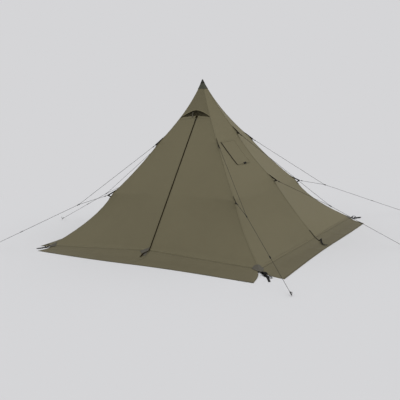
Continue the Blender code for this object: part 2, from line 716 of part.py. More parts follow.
def add_pole():
    """A rubber foot, a lower tube with a locking collar and an upper tube with the peak's pin."""
    bore = POLE_LOWER_RADIUS + SEAM_GAP
    floor = FOOT_HEIGHT - FOOT_SOCKET
    rim = bore + FOOT_WALL
    profile = [(0.0, 0.0), (FOOT_RADIUS, 0.0), (FOOT_RADIUS, floor / 2), (rim, floor), (rim, FOOT_HEIGHT)]
    profile += [(bore, FOOT_HEIGHT), (bore, floor), (0.0, floor)]
    add_object("pole_foot", turned_mesh("pole_foot", profile), "rubber")
    inner = POLE_UPPER_RADIUS + SEAM_GAP
    low = floor + SEAM_GAP
    collar = POLE_JOINT_Z - COLLAR_HEIGHT
    profile = [(inner, low), (POLE_LOWER_RADIUS, low), (POLE_LOWER_RADIUS, collar), (COLLAR_RADIUS, collar)]
    profile += [(COLLAR_RADIUS, POLE_JOINT_Z), (inner, POLE_JOINT_Z)]
    add_object("pole_lower", turned_mesh("pole_lower", profile, ring=True), "aluminium")
    pin_top = CAP_CEILING_Z - SEAM_GAP
    hollow = POLE_UPPER_RADIUS - POLE_WALL
    shoulder = POLE_SHOULDER_Z + POLE_UPPER_RADIUS
    low = POLE_JOINT_Z - POLE_OVERLAP
    profile = [(0.0, pin_top), (POLE_PIN_RADIUS, pin_top), (POLE_PIN_RADIUS, shoulder)]
    profile += [(POLE_UPPER_RADIUS, POLE_SHOULDER_Z), (POLE_UPPER_RADIUS, low), (hollow, low)]
    profile += [(hollow, POLE_SHOULDER_Z - POLE_WALL), (0.0, POLE_SHOULDER_Z - POLE_WALL)]
    add_object("pole_upper", turned_mesh("pole_upper", profile), "aluminium")


def canopy_ring(v, offset):
    """World points round the canopy at share v: each side's middle and the ridge after it."""
    places = [surface(side, u, v, offset) for side in SIDES for u in (0.0, 1.0)]
    return [tuple(place) for place in places]


def add_cap():
    """The reinforcing cap on the peak, open below, with a ceiling over the pole's pin."""
    ceiling, panel_top, hem = (share_at(z, RIDGE_HEM_Z) for z in (CAP_CEILING_Z, PANEL_TOP_Z, CAP_HEM_Z))
    rings = [canopy_ring(v, CAP_GAP + CAP_CLOTH) for v in (0.0, ceiling, panel_top, hem)]
    rings += [canopy_ring(v, CAP_GAP) for v in (hem, panel_top, ceiling)]
    count = len(rings[0])
    points = [place for ring in rings for place in ring]
    faces = [tuple(range(count)), tuple(range(len(points) - 1, len(points) - 1 - count, -1))]
    for k in range(len(rings) - 1):
        for i in range(count):
            a, b = k * count + i, k * count + (i + 1) % count
            faces.append((a, b, b + count, a + count))
    add_object("peak_cap", closed_mesh("peak_cap", points, faces), "cap")


# Seam tapes with their tie-outs

def seam_profile(middle):
    """Heights and reaches of a seam at the panels' rows, in its own upright plane."""
    v = row_shares(CAP_HEM_Z)
    if middle:
        z = HEIGHT - v * (HEIGHT - MIDDLE_HEM_Z)
        return z, middle_reach(z)
    z = HEIGHT - v * (HEIGHT - RIDGE_HEM_Z)
    return z, math.sqrt(2) * ridge_reach(z)


def seam_reach_at(z, middle):
    """Reach of the seam's straight-sided run at height z."""
    heights, reaches = seam_profile(middle)
    return float(np.interp(z, heights[::-1], reaches[::-1]))


def pulls(middle):
    """Junction of a seam's guy line, and for both tie-outs the ends of the base and the tip."""
    junction = np.array(MIDDLE_JUNCTION) if middle else np.array(RIDGE_JUNCTION) * (math.sqrt(2), 1)
    upper, lower = (MIDDLE_UPPER_Z, MIDDLE_LOWER_Z) if middle else (RIDGE_UPPER_Z, RIDGE_LOWER_Z)
    proud = (TAPE_GAP + TAPE_CLOTH - TIE_SINK) * (1 if middle else math.sqrt(2))
    ties = []
    for z in (upper, lower):
        ends = [(seam_reach_at(h, middle) + proud, h) for h in (z + TIE_BASE / 2, z - TIE_BASE / 2)]
        centre = np.mean(ends, 0)
        pull = (junction - centre) / np.linalg.norm(junction - centre)
        ties.append((np.array(ends), centre + pull * TIE_REACH, pull))
    return junction, ties


def upright(angle):
    """Outward and sideways directions of the upright plane at an angle about Z."""
    out = Vector((math.cos(angle), math.sin(angle), 0.0))
    return out, Vector((0.0, 0.0, 1.0)).cross(out)


def tie_meshes(name, angle, middle):
    """The two V tie-outs of a seam, as plates in the seam's upright plane."""
    out, sideways = upright(angle)
    meshes = []
    for (high, low), tip, pull in pulls(middle)[1]:
        across = np.array((-pull[1], pull[0])) * (TIE_LEG / 2)
        foot = (low - high) / np.linalg.norm(low - high) * TIE_LEG
        crotch = tip - pull * (TIE_LEG * 2)
        outline = [high, tip + across, tip - across, low, low - foot, crotch, high + foot]
        base = -sideways * (TIE_PLATE / 2)
        up = (0.0, 0.0, 1.0)
        meshes.append(prism_mesh(name, outline, base, out, up, sideways, TIE_PLATE))
    return meshes


def started_lower(grid):
    """The same grid with its first row moved a little towards the second."""
    step = grid[1] - grid[0]
    grid[0] += step * (TAPE_START / np.linalg.norm(step, axis=-1, keepdims=True))
    return grid


def add_ridge_tape(name, before, after, angle, top_z, strap_length):
    """The tape over a ridge, its strap past the corner and its two tie-outs."""
    v = row_shares(top_z)
    arm = 1 - TAPE_ARM / reach_at(v)
    grids = []
    for offset in (TAPE_GAP + TAPE_CLOTH, TAPE_GAP):
        columns = [surface(before, u, v, offset) for u in (arm, np.ones_like(v))]
        columns.append(surface(after, -arm, v, offset))
        grid = started_lower(np.stack(columns, 1))
        out, sideways = (np.array(d) for d in upright(angle))
        corner = math.sqrt(2) * (CORNER_REACH + TAPE_GAP)
        level = offset - TAPE_GAP
        strap = []
        for reach, z in ((corner + STRAP_ARM, STRAP_Z * 2), (corner + strap_length, STRAP_Z)):
            strap.append([out * reach - sideways * w + (0, 0, z + level) for w in (STRAP_ARM, 0.0, -STRAP_ARM)])
        grids.append(np.concatenate([grid, np.array(strap)]))
    made = add_object(name, sheet_mesh(name, *grids), "tape")
    combine(made, tie_meshes(name, angle, False))


def add_middle_tape(side):
    """The tape down a side's middle seam, run on over the skirt as a strap, and its two tie-outs."""
    v = row_shares(CAP_HEM_Z)
    u = np.stack([-TAPE_ARM / reach_at(v), np.zeros_like(v), TAPE_ARM / reach_at(v)], 1)
    rows = np.repeat(v[:, None], 3, 1)
    q = skirt_shares()[1:, None]
    grids = []
    for offset in (TAPE_GAP + TAPE_CLOTH, TAPE_GAP):
        strap = skirt_points(side, np.array([-STRAP_ARM, 0.0, STRAP_ARM]), q, CLOTH + offset)
        grids.append(np.concatenate([started_lower(surface(side, u, rows, offset)), strap]))
    name = "seam_tape_" + side
    made = add_object(name, sheet_mesh(name, *grids), "tape")
    combine(made, tie_meshes(name, SIDES[side], True))


# Guy lines, runners and pegs

def in_plane(place, angle):
    """World point at a reach and height in the upright plane at an angle."""
    out, _ = upright(angle)
    return out * float(place[0]) + Vector((0.0, 0.0, float(place[1])))


def stem_ends(angle, middle):
    """World ends of a guy line's stem: its junction and where it meets the peg."""
    junction, _ = pulls(middle)
    peg = MIDDLE_PEG_REACH if middle else math.sqrt(2) * RIDGE_PEG_REACH
    low = (peg - PEG_RADIUS - SEAM_GAP - CORD_RADIUS / 2, PEG_LOOP_Z)
    return in_plane(junction, angle), in_plane(low, angle), peg


def add_guy(name, angle, middle):
    """A Y of cord: two legs from the tie-outs to a bead, and a stem from it to the peg."""
    _, ties = pulls(middle)
    top, low, _ = stem_ends(angle, middle)
    work = bmesh.new()
    bmesh.ops.create_icosphere(work, subdivisions=2, radius=BEAD_RADIUS, matrix=Matrix.Translation(top))
    bead = bpy.data.meshes.new(name)
    work.to_mesh(bead)
    work.free()
    legs = [in_plane(tip + pull * SEAM_GAP, angle) for _, tip, pull in ties]
    runs = [tube_mesh(name, (end, top), CORD_RADIUS) for end in (*legs, low)]
    combine(add_object(name, bead, "cord"), runs)


def add_runner(name, angle, middle):
    """A line runner that grips the stem; the stem lies in its slot."""
    top, low, _ = stem_ends(angle, middle)
    along = (top - low).normalized()
    _, sideways = upright(angle)
    above = sideways.cross(along)
    if above.z < 0:
        above = -above
    middle_point = low + along * RUNNER_FROM_PEG
    half, slot, thick = RUNNER_WIDTH / 2, RUNNER_BORE, RUNNER_THICKNESS / 2
    outline = [(-half, -thick), (half, -thick), (half, thick), (slot, thick), (slot, -slot), (-slot, -slot)]
    outline += [(-slot, thick), (-half, thick)]
    start = middle_point - along * (RUNNER_LENGTH / 2)
    mesh = prism_mesh(name, outline, start, sideways, above, along, RUNNER_LENGTH)
    add_object(name, mesh, "plastic", middle_point)


def add_peg(name, angle, middle):
    """The part of a hooked peg that stands out of the ground."""
    _, _, reach = stem_ends(angle, middle)
    straight = PEG_HEIGHT - PEG_HOOK
    turns = [math.pi * k / 4 for k in range(5)]
    route = [(reach, 0.0), (reach, straight)]
    route += [(reach + PEG_HOOK * (1 - math.cos(t)), straight + PEG_HOOK * math.sin(t)) for t in turns[1:]]
    route.append((reach + 2 * PEG_HOOK, straight - PEG_HOOK / 2))
    add_object(name, tube_mesh(name, [in_plane(p, angle) for p in route], PEG_RADIUS), "metal")


def add_corner(name, angle, strap_length, tongue_length):
    """A ladder-lock buckle at the end of a corner strap, with its webbing tongue."""
    out, sideways = upright(angle)
    start = math.sqrt(2) * (CORNER_REACH + TAPE_GAP) + strap_length + SEAM_GAP
    up = Vector((0.0, 0.0, 1.0))
    base = up * BUCKLE_CLEAR

    def slab(near, far, half, low, thick):
        outline = [(near, -half), (far, -half), (far, half), (near, half)]
        return prism_mesh(name, outline, base + up * low, out, sideways, up, thick)

    made = add_object(name, slab(start, start + BUCKLE_LENGTH, BUCKLE_WIDTH / 2, 0.0, BUCKLE_THICKNESS), "plastic")
    slot = (BUCKLE_LENGTH - 3 * BUCKLE_BAR) / 2
    inside = BUCKLE_WIDTH / 2 - BUCKLE_BAR
    cuts = []
    for near in (start + BUCKLE_BAR, start + 2 * BUCKLE_BAR + slot):
        cuts.append(slab(near, near + slot, inside, -BUCKLE_THICKNESS, 3 * BUCKLE_THICKNESS))
    combine(made, cuts, "DIFFERENCE")
    end = start + BUCKLE_LENGTH
    tongue = slab(end - BUCKLE_BAR / 2, end + tongue_length, TONGUE_WIDTH / 2, 0.0, TONGUE_THICKNESS)
    combine(made, [tongue])


def build():
    """Makes every piece of the tent."""
    clear_scene()
    for side, sign, name in (
        ("right", -1, "right_panel_front"),
        ("right", 1, "right_panel_rear"),
        ("back", -1, "back_panel_right"),
        ("back", 1, "back_panel_left"),
        ("left", -1, "left_panel_rear"),
        ("left", 1, "left_panel_front"),
    ):
        add_half_panel(name, side, sign)
    for hand, sign in (("left", -1), ("right", 1)):
        add_front_panel("front_panel_" + hand, sign)
        add_leaf("door_" + hand, sign)
    add_vent()
    add_zip()
    add_skirts()
    add_stove_jack()
    add_pole()
    add_cap()
    sides = list(SIDES)
    for corner, angle in DIAGONALS.items():
        before = sides[round((angle - math.pi / 4) / (math.pi / 2)) % 4]
        after = sides[round((angle + math.pi / 4) / (math.pi / 2)) % 4]
        top_z = HEADER_Z if corner.startswith("front") else CAP_HEM_Z
        long = corner == LONG_STRAP_CORNER
        strap, tongue = (LONG_STRAP, LONG_TONGUE) if long else (CORNER_STRAP, BUCKLE_TONGUE)
        add_ridge_tape("seam_tape_" + corner, before, after, angle, top_z, strap)
        add_corner("corner_buckle_" + corner, angle, strap, tongue)
    for side in ("right", "back", "left"):
        add_middle_tape(side)
    lines = [(corner, angle, False) for corner, angle in DIAGONALS.items()]
    lines += [(side, SIDES[side], True) for side in ("right", "back", "left")]
    for place, angle, middle in lines:
        add_guy("guy_" + place, angle, middle)
        add_runner("runner_" + place, angle, middle)
        add_peg("peg_" + place, angle, middle)


build()
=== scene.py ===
"""Looks of a four-sided pyramid tent on one centre pole, pitched on level ground.

Metres, +Z up. The origin is on the ground under the pole. The door is at -Y and the stove flap at +X.
The cloth follows the same lines as the solids: a pull point's height and reach, drawn in between pulls.
"""
import math

import bmesh
import bpy
import numpy as np
from mathutils import Matrix, Vector


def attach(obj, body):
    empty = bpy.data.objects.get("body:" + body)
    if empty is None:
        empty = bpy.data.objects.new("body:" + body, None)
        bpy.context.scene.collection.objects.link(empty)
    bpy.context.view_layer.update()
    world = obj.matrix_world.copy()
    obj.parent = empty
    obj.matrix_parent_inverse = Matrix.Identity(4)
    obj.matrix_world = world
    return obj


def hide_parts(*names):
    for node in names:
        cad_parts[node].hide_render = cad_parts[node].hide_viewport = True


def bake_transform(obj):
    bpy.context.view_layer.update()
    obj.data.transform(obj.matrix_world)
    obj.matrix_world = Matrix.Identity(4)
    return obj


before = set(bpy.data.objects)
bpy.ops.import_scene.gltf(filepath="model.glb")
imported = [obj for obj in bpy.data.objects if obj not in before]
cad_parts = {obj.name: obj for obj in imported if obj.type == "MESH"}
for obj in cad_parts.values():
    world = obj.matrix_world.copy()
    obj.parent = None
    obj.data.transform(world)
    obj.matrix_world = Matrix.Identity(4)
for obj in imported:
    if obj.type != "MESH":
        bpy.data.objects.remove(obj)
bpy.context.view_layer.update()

# The pitch, as in the solids: each line's heights from the peak down to the hem, its reaches there, and how
# far each run between two pulls is drawn in; then the length of a face from the peak to the hem
HEIGHT = 2.20
RIDGE_Z = (HEIGHT, HEIGHT * 0.6195, HEIGHT * 0.3082, 0.020)
RIDGE_REACHES = (0.0, 0.462, 0.961, 1.600)
RIDGE_SAGS = (0.046, 0.021, 0.085)
MIDDLE_Z = (HEIGHT, HEIGHT * 0.6755, HEIGHT * 0.3782, 0.048)
MIDDLE_REACHES = (0.0, 0.491, 1.035, 1.648)
MIDDLE_SAGS = (0.024, 0.038, 0.020)
HEM_Z, CORNER_REACH = RIDGE_Z[3], RIDGE_REACHES[3]
FACE_RUN = 2.72
CAP_HEM_Z = 2.070
DIAGONAL = math.sqrt(2)
SIDES = {"right": 0.0, "back": math.pi / 2, "left": math.pi, "front": -math.pi / 2}
PLAIN_SIDES = ("right", "back", "left")
CORNERS = {
    "rear_right": math.pi / 4,
    "rear_left": 3 * math.pi / 4,
    "front_left": -3 * math.pi / 4,
    "front_right": -math.pi / 4,
}

# The door: its header and hem lines, the zip's upper end and its ways down along and out from the door, and
# how far to the side its fold lies
HANDS = {"left": -1, "right": 1}
HEADER_Z, HEADER_REACH = 1.680, 0.202
DOOR_HEM_Z, DOOR_HEM_REACH = 0.070, 1.496
ZIP_TOP_Z = 1.670
ZIP_TOP = np.array((0.0, -0.21004, ZIP_TOP_Z))
ZIP_DOWN = np.array((0.0, -0.62646, -0.77945))
ZIP_OUT = np.array((0.0, -0.77945, 0.62646))
ZIP_LENGTH = 2.0527
ZIP_EDGE = 0.0085
FOLD_TOP_X, FOLD_HEM_X = 0.012, 1.088

# Guy lines, each point a reach and a height in the seam's upright plane
CORD = 0.0044
TIE_BASE, TIE_REACH = 0.090, 0.080
LOOP_Z = 0.016
RIDGE_GUY = {"junction": (1.8328, 0.5641), "loop": (3.2313, LOOP_Z), "peg": (3.2357, LOOP_Z)}
MIDDLE_GUY = {"junction": (1.8556, 0.4939), "loop": (2.8456, LOOP_Z), "peg": (2.8500, LOOP_Z)}
GUYS = {place: (angle, RIDGE_GUY) for place, angle in CORNERS.items()}
GUYS.update({side: (SIDES[side], MIDDLE_GUY) for side in PLAIN_SIDES})
RUNNER_FROM_PEG = 0.650
RUNNER_LENGTH, RUNNER_WIDTH, RUNNER_THICKNESS = 0.046, 0.014, 0.007

# Cloth: thickness, the sag of a panel between its seams, puckers along seams and waves at the hem
CLOTH = 0.0012
PANEL_SAG = 0.014
PUCKER, PUCKER_PITCH, PUCKER_FADE = 0.0011, 0.092, 0.050
PULL_CREASE, PULL_FADE = 0.0045, 0.110
HEM_WAVE, HEM_PITCH, HEM_FADE = 0.0040, 0.410, 0.160
TAPE_HALF, TAPE_LIFT, TAPE = 0.011, 0.0016, 0.0009

# Mud skirt: how far it runs each way, then by side its widths at the start, middle and end, the flare of its
# two ends and their rounding; a side runs anticlockwise
SKIRT_END = 1.565
SKIRT_WIDTHS = {
    "right": (0.390, 0.310, 0.285),
    "back": (0.220, 0.320, 0.450),
    "left": (0.3936, 0.230, 0.180),
    "front": (0.225, 0.320, 0.450),
}
SKIRT_FLARES = {
    "right": (0.235, -0.250),
    "back": (-0.250, 0.165),
    "left": (0.235, 0.040),
    "front": (0.050, 0.195),
}
SKIRT_ROUNDS = {"right": (0.055, 0.0), "back": (0.0, 0.0), "left": (0.0, 0.0), "front": (0.0, 0.035)}
SKIRT_WAVE, SKIRT_PITCH, SKIRT_RIPPLE_PITCH = 0.0042, 0.47, 0.19

# Grids
ROWS, HALF_COLUMNS = 120, 40
SKIRT_ROWS, SKIRT_COLUMNS = 26, 150


# Lines of the pitch

def drawn_in(z, heights, reaches, sags):
    """Reach at height z: straight between the pulls, less sag * 4 s (1 - s) on each run."""
    z = np.asarray(z, float)
    reach = np.interp(z, heights[::-1], reaches[::-1])
    for high, low, sag in zip(heights[:-1], heights[1:], sags):
        share = np.clip((high - z) / (high - low), 0, 1)
        reach = reach - sag * 4 * share * (1 - share)
    return reach


def ridge_reach(z):
    """Distance of a ridge from each middle plane at height z."""
    return drawn_in(z, RIDGE_Z, RIDGE_REACHES, RIDGE_SAGS)


def middle_reach(side, z):
    """Distance of a side's middle line from the pole at height z; the zip's line is straight."""
    if side == "front":
        return np.interp(z, (DOOR_HEM_Z, HEADER_Z, HEIGHT), (DOOR_HEM_REACH, HEADER_REACH, 0.0))
    return drawn_in(z, MIDDLE_Z, MIDDLE_REACHES, MIDDLE_SAGS)


def middle_hem(side):
    """Height of the hem at a side's middle."""
    return DOOR_HEM_Z if side == "front" else MIDDLE_Z[3]


def share_at(z, hem):
    """Share of the way from the peak down to a hem at which a line is at height z."""
    return (HEIGHT - z) / (HEIGHT - hem)


def reach_at(v):
    """Distance of the ridges from the middle plane at share v."""
    return ridge_reach(HEIGHT - v * (HEIGHT - HEM_Z))


def turned(points, angle):
    """Points turned about Z by an angle."""
    c, s = math.cos(angle), math.sin(angle)
    x, y, z = points[..., 0], points[..., 1], points[..., 2]
    return np.stack([x * c - y * s, x * s + y * c, z], -1)


def upright(angle):
    """Outward and sideways directions of the upright plane at an angle."""
    c, s = math.cos(angle), math.sin(angle)
    return np.array((c, s, 0.0)), np.array((-s, c, 0.0))


def in_plane(places, angle, sideways=0.0):
    """World points from reaches and heights in the upright plane at an angle, moved sideways."""
    places = np.asarray(places, float)
    x, y = np.broadcast_arrays(places[..., 0], np.asarray(sideways, float))
    return turned(np.stack([x, y, np.broadcast_to(places[..., 1], x.shape)], -1), angle)


def tie_outs(guy):
    """Each tie-out of a seam: its upper and lower base, its tip and the direction it is pulled in."""
    middle = guy is MIDDLE_GUY
    found = []
    for z in (MIDDLE_Z if middle else RIDGE_Z)[1:3]:
        heights = np.array((z + TIE_BASE / 2, z - TIE_BASE / 2))
        reach = middle_reach("right", heights) if middle else DIAGONAL * ridge_reach(heights)
        ends = np.stack([reach + 0.002, heights], -1)
        centre = ends.mean(0)
        pull = unit(np.array(guy["junction"]) - centre)
        found.append((ends, centre + pull * TIE_REACH, pull))
    return found


def waver(t, seed):
    """A steady wave with uneven crests: sin(t + 0.6 sin(0.37 t + seed)) times a slow swell."""
    return np.sin(t + 0.6 * np.sin(0.37 * t + seed) + seed) * (0.65 + 0.35 * np.sin(0.21 * t + 2 * seed))


def relief(side, u, v):
    """Outward offset of the cloth, in metres.

    It is a sag of 4 s (1 - s) between seams, a waver that fades away from each seam, creases that run out
    from each pull by the cosine of four times their direction, and waves that fade up from the hem.
    """
    seed = SIDES[side] + 1.3
    s, reach = np.abs(u), reach_at(v)
    low = np.clip(v * 1.25, 0, 1)
    out = -PANEL_SAG * 4 * s * (1 - s) * low**2
    middle = 0.0 if side == "front" else 1.0
    for away, shift, share in (((1 - s) * reach, 0.0, 1.0), (s * reach, 1.7, middle)):
        fade = np.exp(-away / PUCKER_FADE) * share
        out = out + PUCKER * waver(2 * math.pi * v * FACE_RUN / PUCKER_PITCH, seed + shift) * fade * low
    pulls = [(z, HEM_Z, 1.0) for z in RIDGE_Z[1:3]]
    if side != "front":
        pulls += [(z, MIDDLE_Z[3], 0.0) for z in MIDDLE_Z[1:3]]
    for z, hem, place in pulls:
        across, along = (s - place) * reach, (v - share_at(z, hem)) * FACE_RUN
        away = np.hypot(across, along) + 1e-4
        turn = np.arctan2(along, np.abs(across))
        crease = np.cos(4 * turn + seed) * np.minimum(away / 0.05, 1) + 0.5
        out = out + PULL_CREASE * crease * np.exp(-away / PULL_FADE) * np.minimum(away / 0.02, 1)
    to_hem = (1 - v) * FACE_RUN
    free = np.clip(to_hem / 0.05, 0, 1)
    edge = np.clip((1 - s) * 6, 0, 1) * (np.clip(s * 8, 0, 1) if side == "front" else 1.0)
    wave = HEM_WAVE * waver(2 * math.pi * u * reach / HEM_PITCH, seed) * np.exp(-to_hem / HEM_FADE)
    return (out + wave * edge) * free


def surface(side, u, v, offset=0.0, bulge=0.0, rough=True):
    """World points of a side. u runs from -1 at one ridge over 0 at the middle to 1 at the other.

    A row is straight from the middle line to the ridge line at share v; offset moves it outwards.
    """
    u, v = np.broadcast_arrays(np.asarray(u, float), np.asarray(v, float))
    middle_z = HEIGHT - v * (HEIGHT - middle_hem(side))
    ridge_z = HEIGHT - v * (HEIGHT - HEM_Z)
    offset = offset + (relief(side, u, v) * v**0.5 if rough else 0.0)
    ridge = ridge_reach(ridge_z)
    s = np.abs(u)
    x = middle_reach(side, middle_z) * (1 - s) + ridge * s + offset + bulge
    y = np.sign(u) * s * (ridge + offset)
    z = middle_z * (1 - s) + ridge_z * s
    return turned(np.stack([x, y, z], -1), SIDES[side])


def skirt_fall(q, hem_z):
    """Height of the skirt at share q of its width: down from the hem in a curve (1 - q / 0.4)^2."""
    return 0.0016 + hem_z * np.clip(1 - q / 0.40, 0, 1) ** 2


def skirt_surface(side, lateral, q, lift=0.0):
    """World points of the mud skirt: lateral runs along the hem and q out to the edge.

    Its width goes from the middle's to the end's by share^2. The ends are moved along by flare q + round
    sin(pi q^0.8), by share^4. Low waves lift it off the ground here and there.
    """
    lateral, q = np.broadcast_arrays(np.asarray(lateral, float), np.asarray(q, float))
    share = np.clip(np.abs(lateral) / CORNER_REACH, 0, 1)
    front = side == "front"
    middle, middle_z = (DOOR_HEM_REACH, DOOR_HEM_Z) if front else (MIDDLE_REACHES[3], MIDDLE_Z[3])
    hem = middle + (CORNER_REACH - middle) * share
    hem_z = middle_z + (HEM_Z - middle_z) * share
    start = lateral < 0
    start_width, middle_width, end_width = SKIRT_WIDTHS[side]
    width = middle_width + (np.where(start, start_width, end_width) - middle_width) * share**2
    edge = CORNER_REACH + width
    flare = np.where(start, *SKIRT_FLARES[side]) * q
    flare = flare + np.where(start, *SKIRT_ROUNDS[side]) * np.sin(math.pi * q**0.8)
    spread = 1 + flare / SKIRT_END * share**4
    seed = SIDES[side] + 0.4
    wave = waver(2 * math.pi * lateral / SKIRT_PITCH + 1.5 * q, seed)
    wave = wave + 0.6 * waver(2 * math.pi * lateral / SKIRT_RIPPLE_PITCH, seed + 2)
    wave = np.clip(wave, 0, 2) * SKIRT_WAVE * np.clip(q * (1.25 - q) * 4, 0, 1)
    z = skirt_fall(q, hem_z) + wave + lift
    return turned(np.stack([hem + (edge - hem) * q, lateral * spread, z], -1), SIDES[side])


# Shapes: each is points, faces and, for each point, its place across and along the piece in metres

def grid_faces(rows, columns, wrap=False, loop=False):
    """Four-sided faces of a grid of points; wrap joins its last column to its first, loop its rows."""
    i = np.arange(rows if loop else rows - 1)[:, None]
    j = np.arange(columns if wrap else columns - 1)[None, :]
    i, j = np.broadcast_arrays(i, j)
    down, on = (i + 1) % rows, (j + 1) % columns
    ring = [i * columns + j, i * columns + on, down * columns + on, down * columns + j]
    return np.stack(ring, -1).reshape(-1, 4)


def tube_faces(rows, columns, end=True):
    """Faces of a tube of points, a ring to each row, with its first ring filled and its last one if asked."""
    faces = [tuple(f) for f in grid_faces(rows, columns, wrap=True)] + [tuple(range(columns))[::-1]]
    return faces + [tuple(range((rows - 1) * columns, rows * columns))] * end


def lengths(grid, axis):
    """Distance travelled along one axis of a grid of points."""
    steps = np.linalg.norm(np.diff(grid, axis=axis), axis=-1)
    shape = list(steps.shape)
    shape[axis] = 1
    return np.concatenate([np.zeros(shape), np.cumsum(steps, axis)], axis)


def grid_area(grid):
    """Area of a grid of points, each cell as two triangles."""
    a, b, c, d = grid[:-1, :-1], grid[:-1, 1:], grid[1:, 1:], grid[1:, :-1]
    halves = [np.linalg.norm(np.cross(one - a, two - a), axis=-1) for one, two in ((b, c), (c, d))]
    return float((halves[0] + halves[1]).sum() / 2)


def unit(vectors):
    """Vectors scaled to length 1."""
    vectors = np.asarray(vectors, float)
    return vectors / np.linalg.norm(vectors, axis=-1, keepdims=True)


def swept(path, profile, up=(0, 0, 1)):
    """A closed profile of (side, height) points carried along a path, its ends filled; up sets its roll.

    The profile may have a row of points for each point of the path.
    """
    path, profile = np.asarray(path, float), np.asarray(profile, float)
    profile = np.broadcast_to(profile, (len(path), *profile.shape[-2:]))
    along = unit(np.gradient(path, axis=0))
    side = unit(np.cross(along, np.broadcast_to(np.asarray(up, float), along.shape)))
    top = np.cross(side, along)
    rings = path[:, None] + side[:, None] * profile[..., :1] + top[:, None] * profile[..., 1:]
    around = lengths(profile, 1) - lengths(profile, 1)[:, -1:] / 2
    uv = np.stack(np.broadcast_arrays(around, lengths(path[:, None], 0)), -1)
    return rings.reshape(-1, 3), tube_faces(*rings.shape[:2]), uv.reshape(-1, 2)


def round_profile(radius, sides):
    """Points round a circle."""
    t = np.arange(sides) * 2 * math.pi / sides
    return np.stack([np.cos(t), np.sin(t)], -1) * radius


def bar_profile(width, height, sides=16, power=0.35):
    """Points round a rounded bar: the signed power of cosine and sine."""
    t = (np.arange(sides) + 0.5) * 2 * math.pi / sides
    ends = np.stack([np.cos(t), np.sin(t)], -1)
    return np.sign(ends) * np.abs(ends) ** power * (width / 2, height / 2)


def hoop(centre, long, short, radius, sides=8, count=32):
    """A closed ring of cord on an ellipse: centre + long cos t + short sin t."""
    long, short = np.asarray(long, float), np.asarray(short, float)
    t = (np.arange(count) * 2 * math.pi / count)[:, None]
    path = centre + long * np.cos(t) + short * np.sin(t)
    along = unit(short * np.cos(t) - long * np.sin(t))
    normal = np.broadcast_to(unit(np.cross(long, short)), along.shape)
    side = np.cross(along, normal)
    ring = round_profile(radius, sides)
    points = path[:, None] + side[:, None] * ring[None, :, :1] + normal[:, None] * ring[None, :, 1:]
    run = np.linspace(0, 2 * math.pi * math.sqrt((long @ long + short @ short) / 2), count)
    uv = np.stack(np.broadcast_arrays(np.arange(sides)[None, :] * radius, run[:, None]), -1)
    return points.reshape(-1, 3), [tuple(f) for f in grid_faces(count, sides, True, True)], uv.reshape(-1, 2)


def lathed(centre, axis, profile, sides=20):
    """A profile of (along, radius) points turned about an axis through a centre."""
    axis = unit(axis)
    side = unit(np.cross(axis, (0.3, 0.5, 0.8)))
    t = (np.arange(sides) * 2 * math.pi / sides)[None, :, None]
    profile = np.asarray(profile, float)
    ring = side * np.cos(t) + np.cross(axis, side) * np.sin(t)
    points = np.asarray(centre) + axis * profile[:, None, :1] + ring * profile[:, None, 1:]
    uv = np.stack(np.broadcast_arrays(t[..., 0] * 0.01, profile[:, :1]), -1)
    return points.reshape(-1, 3), tube_faces(len(profile), sides), uv.reshape(-1, 2)


def rounded(points, radius, steps=7):
    """A path that turns each corner on the curve (1 - t)^2 a + 2 t (1 - t) corner + t^2 b."""
    points = np.asarray(points, float)
    corner = points[1:-1, None]
    back, on = points[:-2, None] - corner, points[2:, None] - corner
    runs = [np.linalg.norm(way, axis=-1, keepdims=True) for way in (back, on)]
    a, b = (corner + way / run * np.minimum(radius, 0.48 * run) for way, run in zip((back, on), runs))
    t = np.linspace(0, 1, steps)[None, :, None]
    turns = (1 - t) ** 2 * a + 2 * t * (1 - t) * corner + t**2 * b
    return np.concatenate([points[:1], turns.reshape(-1, points.shape[-1]), points[-1:]])


def evenly(path, count):
    """The same path with evenly spaced points."""
    path = np.asarray(path, float)
    run = lengths(path[:, None], 0)[:, 0]
    t = np.linspace(0, run[-1], count)
    return np.stack([np.interp(t, run, path[:, k]) for k in range(path.shape[1])], -1)


def make(name, shapes, material, body=None, replaces=(), sharp=40):
    """One piece at the origin from several shapes."""
    points = np.concatenate([shape[0] for shape in shapes])
    starts = np.cumsum([0] + [len(shape[0]) for shape in shapes[:-1]])
    faces = []
    for (_, own, _), start in zip(shapes, starts):
        faces += [tuple(int(i + start) for i in face) for face in own]
    mesh = bpy.data.meshes.new(name)
    mesh.from_pydata(points.tolist(), [], faces)
    work = bmesh.new()
    work.from_mesh(mesh)
    bmesh.ops.recalc_face_normals(work, faces=work.faces)
    work.to_mesh(mesh)
    work.free()
    finish_mesh(mesh, np.concatenate([shape[2] for shape in shapes]), material)
    mesh.set_sharp_from_angle(angle=math.radians(sharp))
    return placed(name, mesh, body, replaces)


def finish_mesh(mesh, uv, material):
    """Smooth shading, the piece's own lengths as its UV map, and its material."""
    layer = mesh.uv_layers.new(name="UVMap")
    corners = np.empty(len(mesh.loops), np.int32)
    mesh.loops.foreach_get("vertex_index", corners)
    layer.data.foreach_set("uv", np.asarray(uv, float).reshape(-1, 2)[corners].ravel())
    mesh.polygons.foreach_set("use_smooth", np.ones(len(mesh.polygons), bool))
    mesh.materials.append(material)


def placed(name, mesh, body, replaces):
    """Links a mesh as a piece that rides on a body and stands for its CAD nodes."""
    made = bpy.data.objects.new(name, mesh)
    bpy.context.scene.collection.objects.link(made)
    if body:
        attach(made, body)
    if replaces:
        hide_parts(*replaces)
    return made


def thicken(piece, thickness):
    """Gives a piece of sheet a wall on its inner side."""
    wall = piece.modifiers.new("thickness", "SOLIDIFY")
    wall.thickness = thickness
    wall.offset = -1


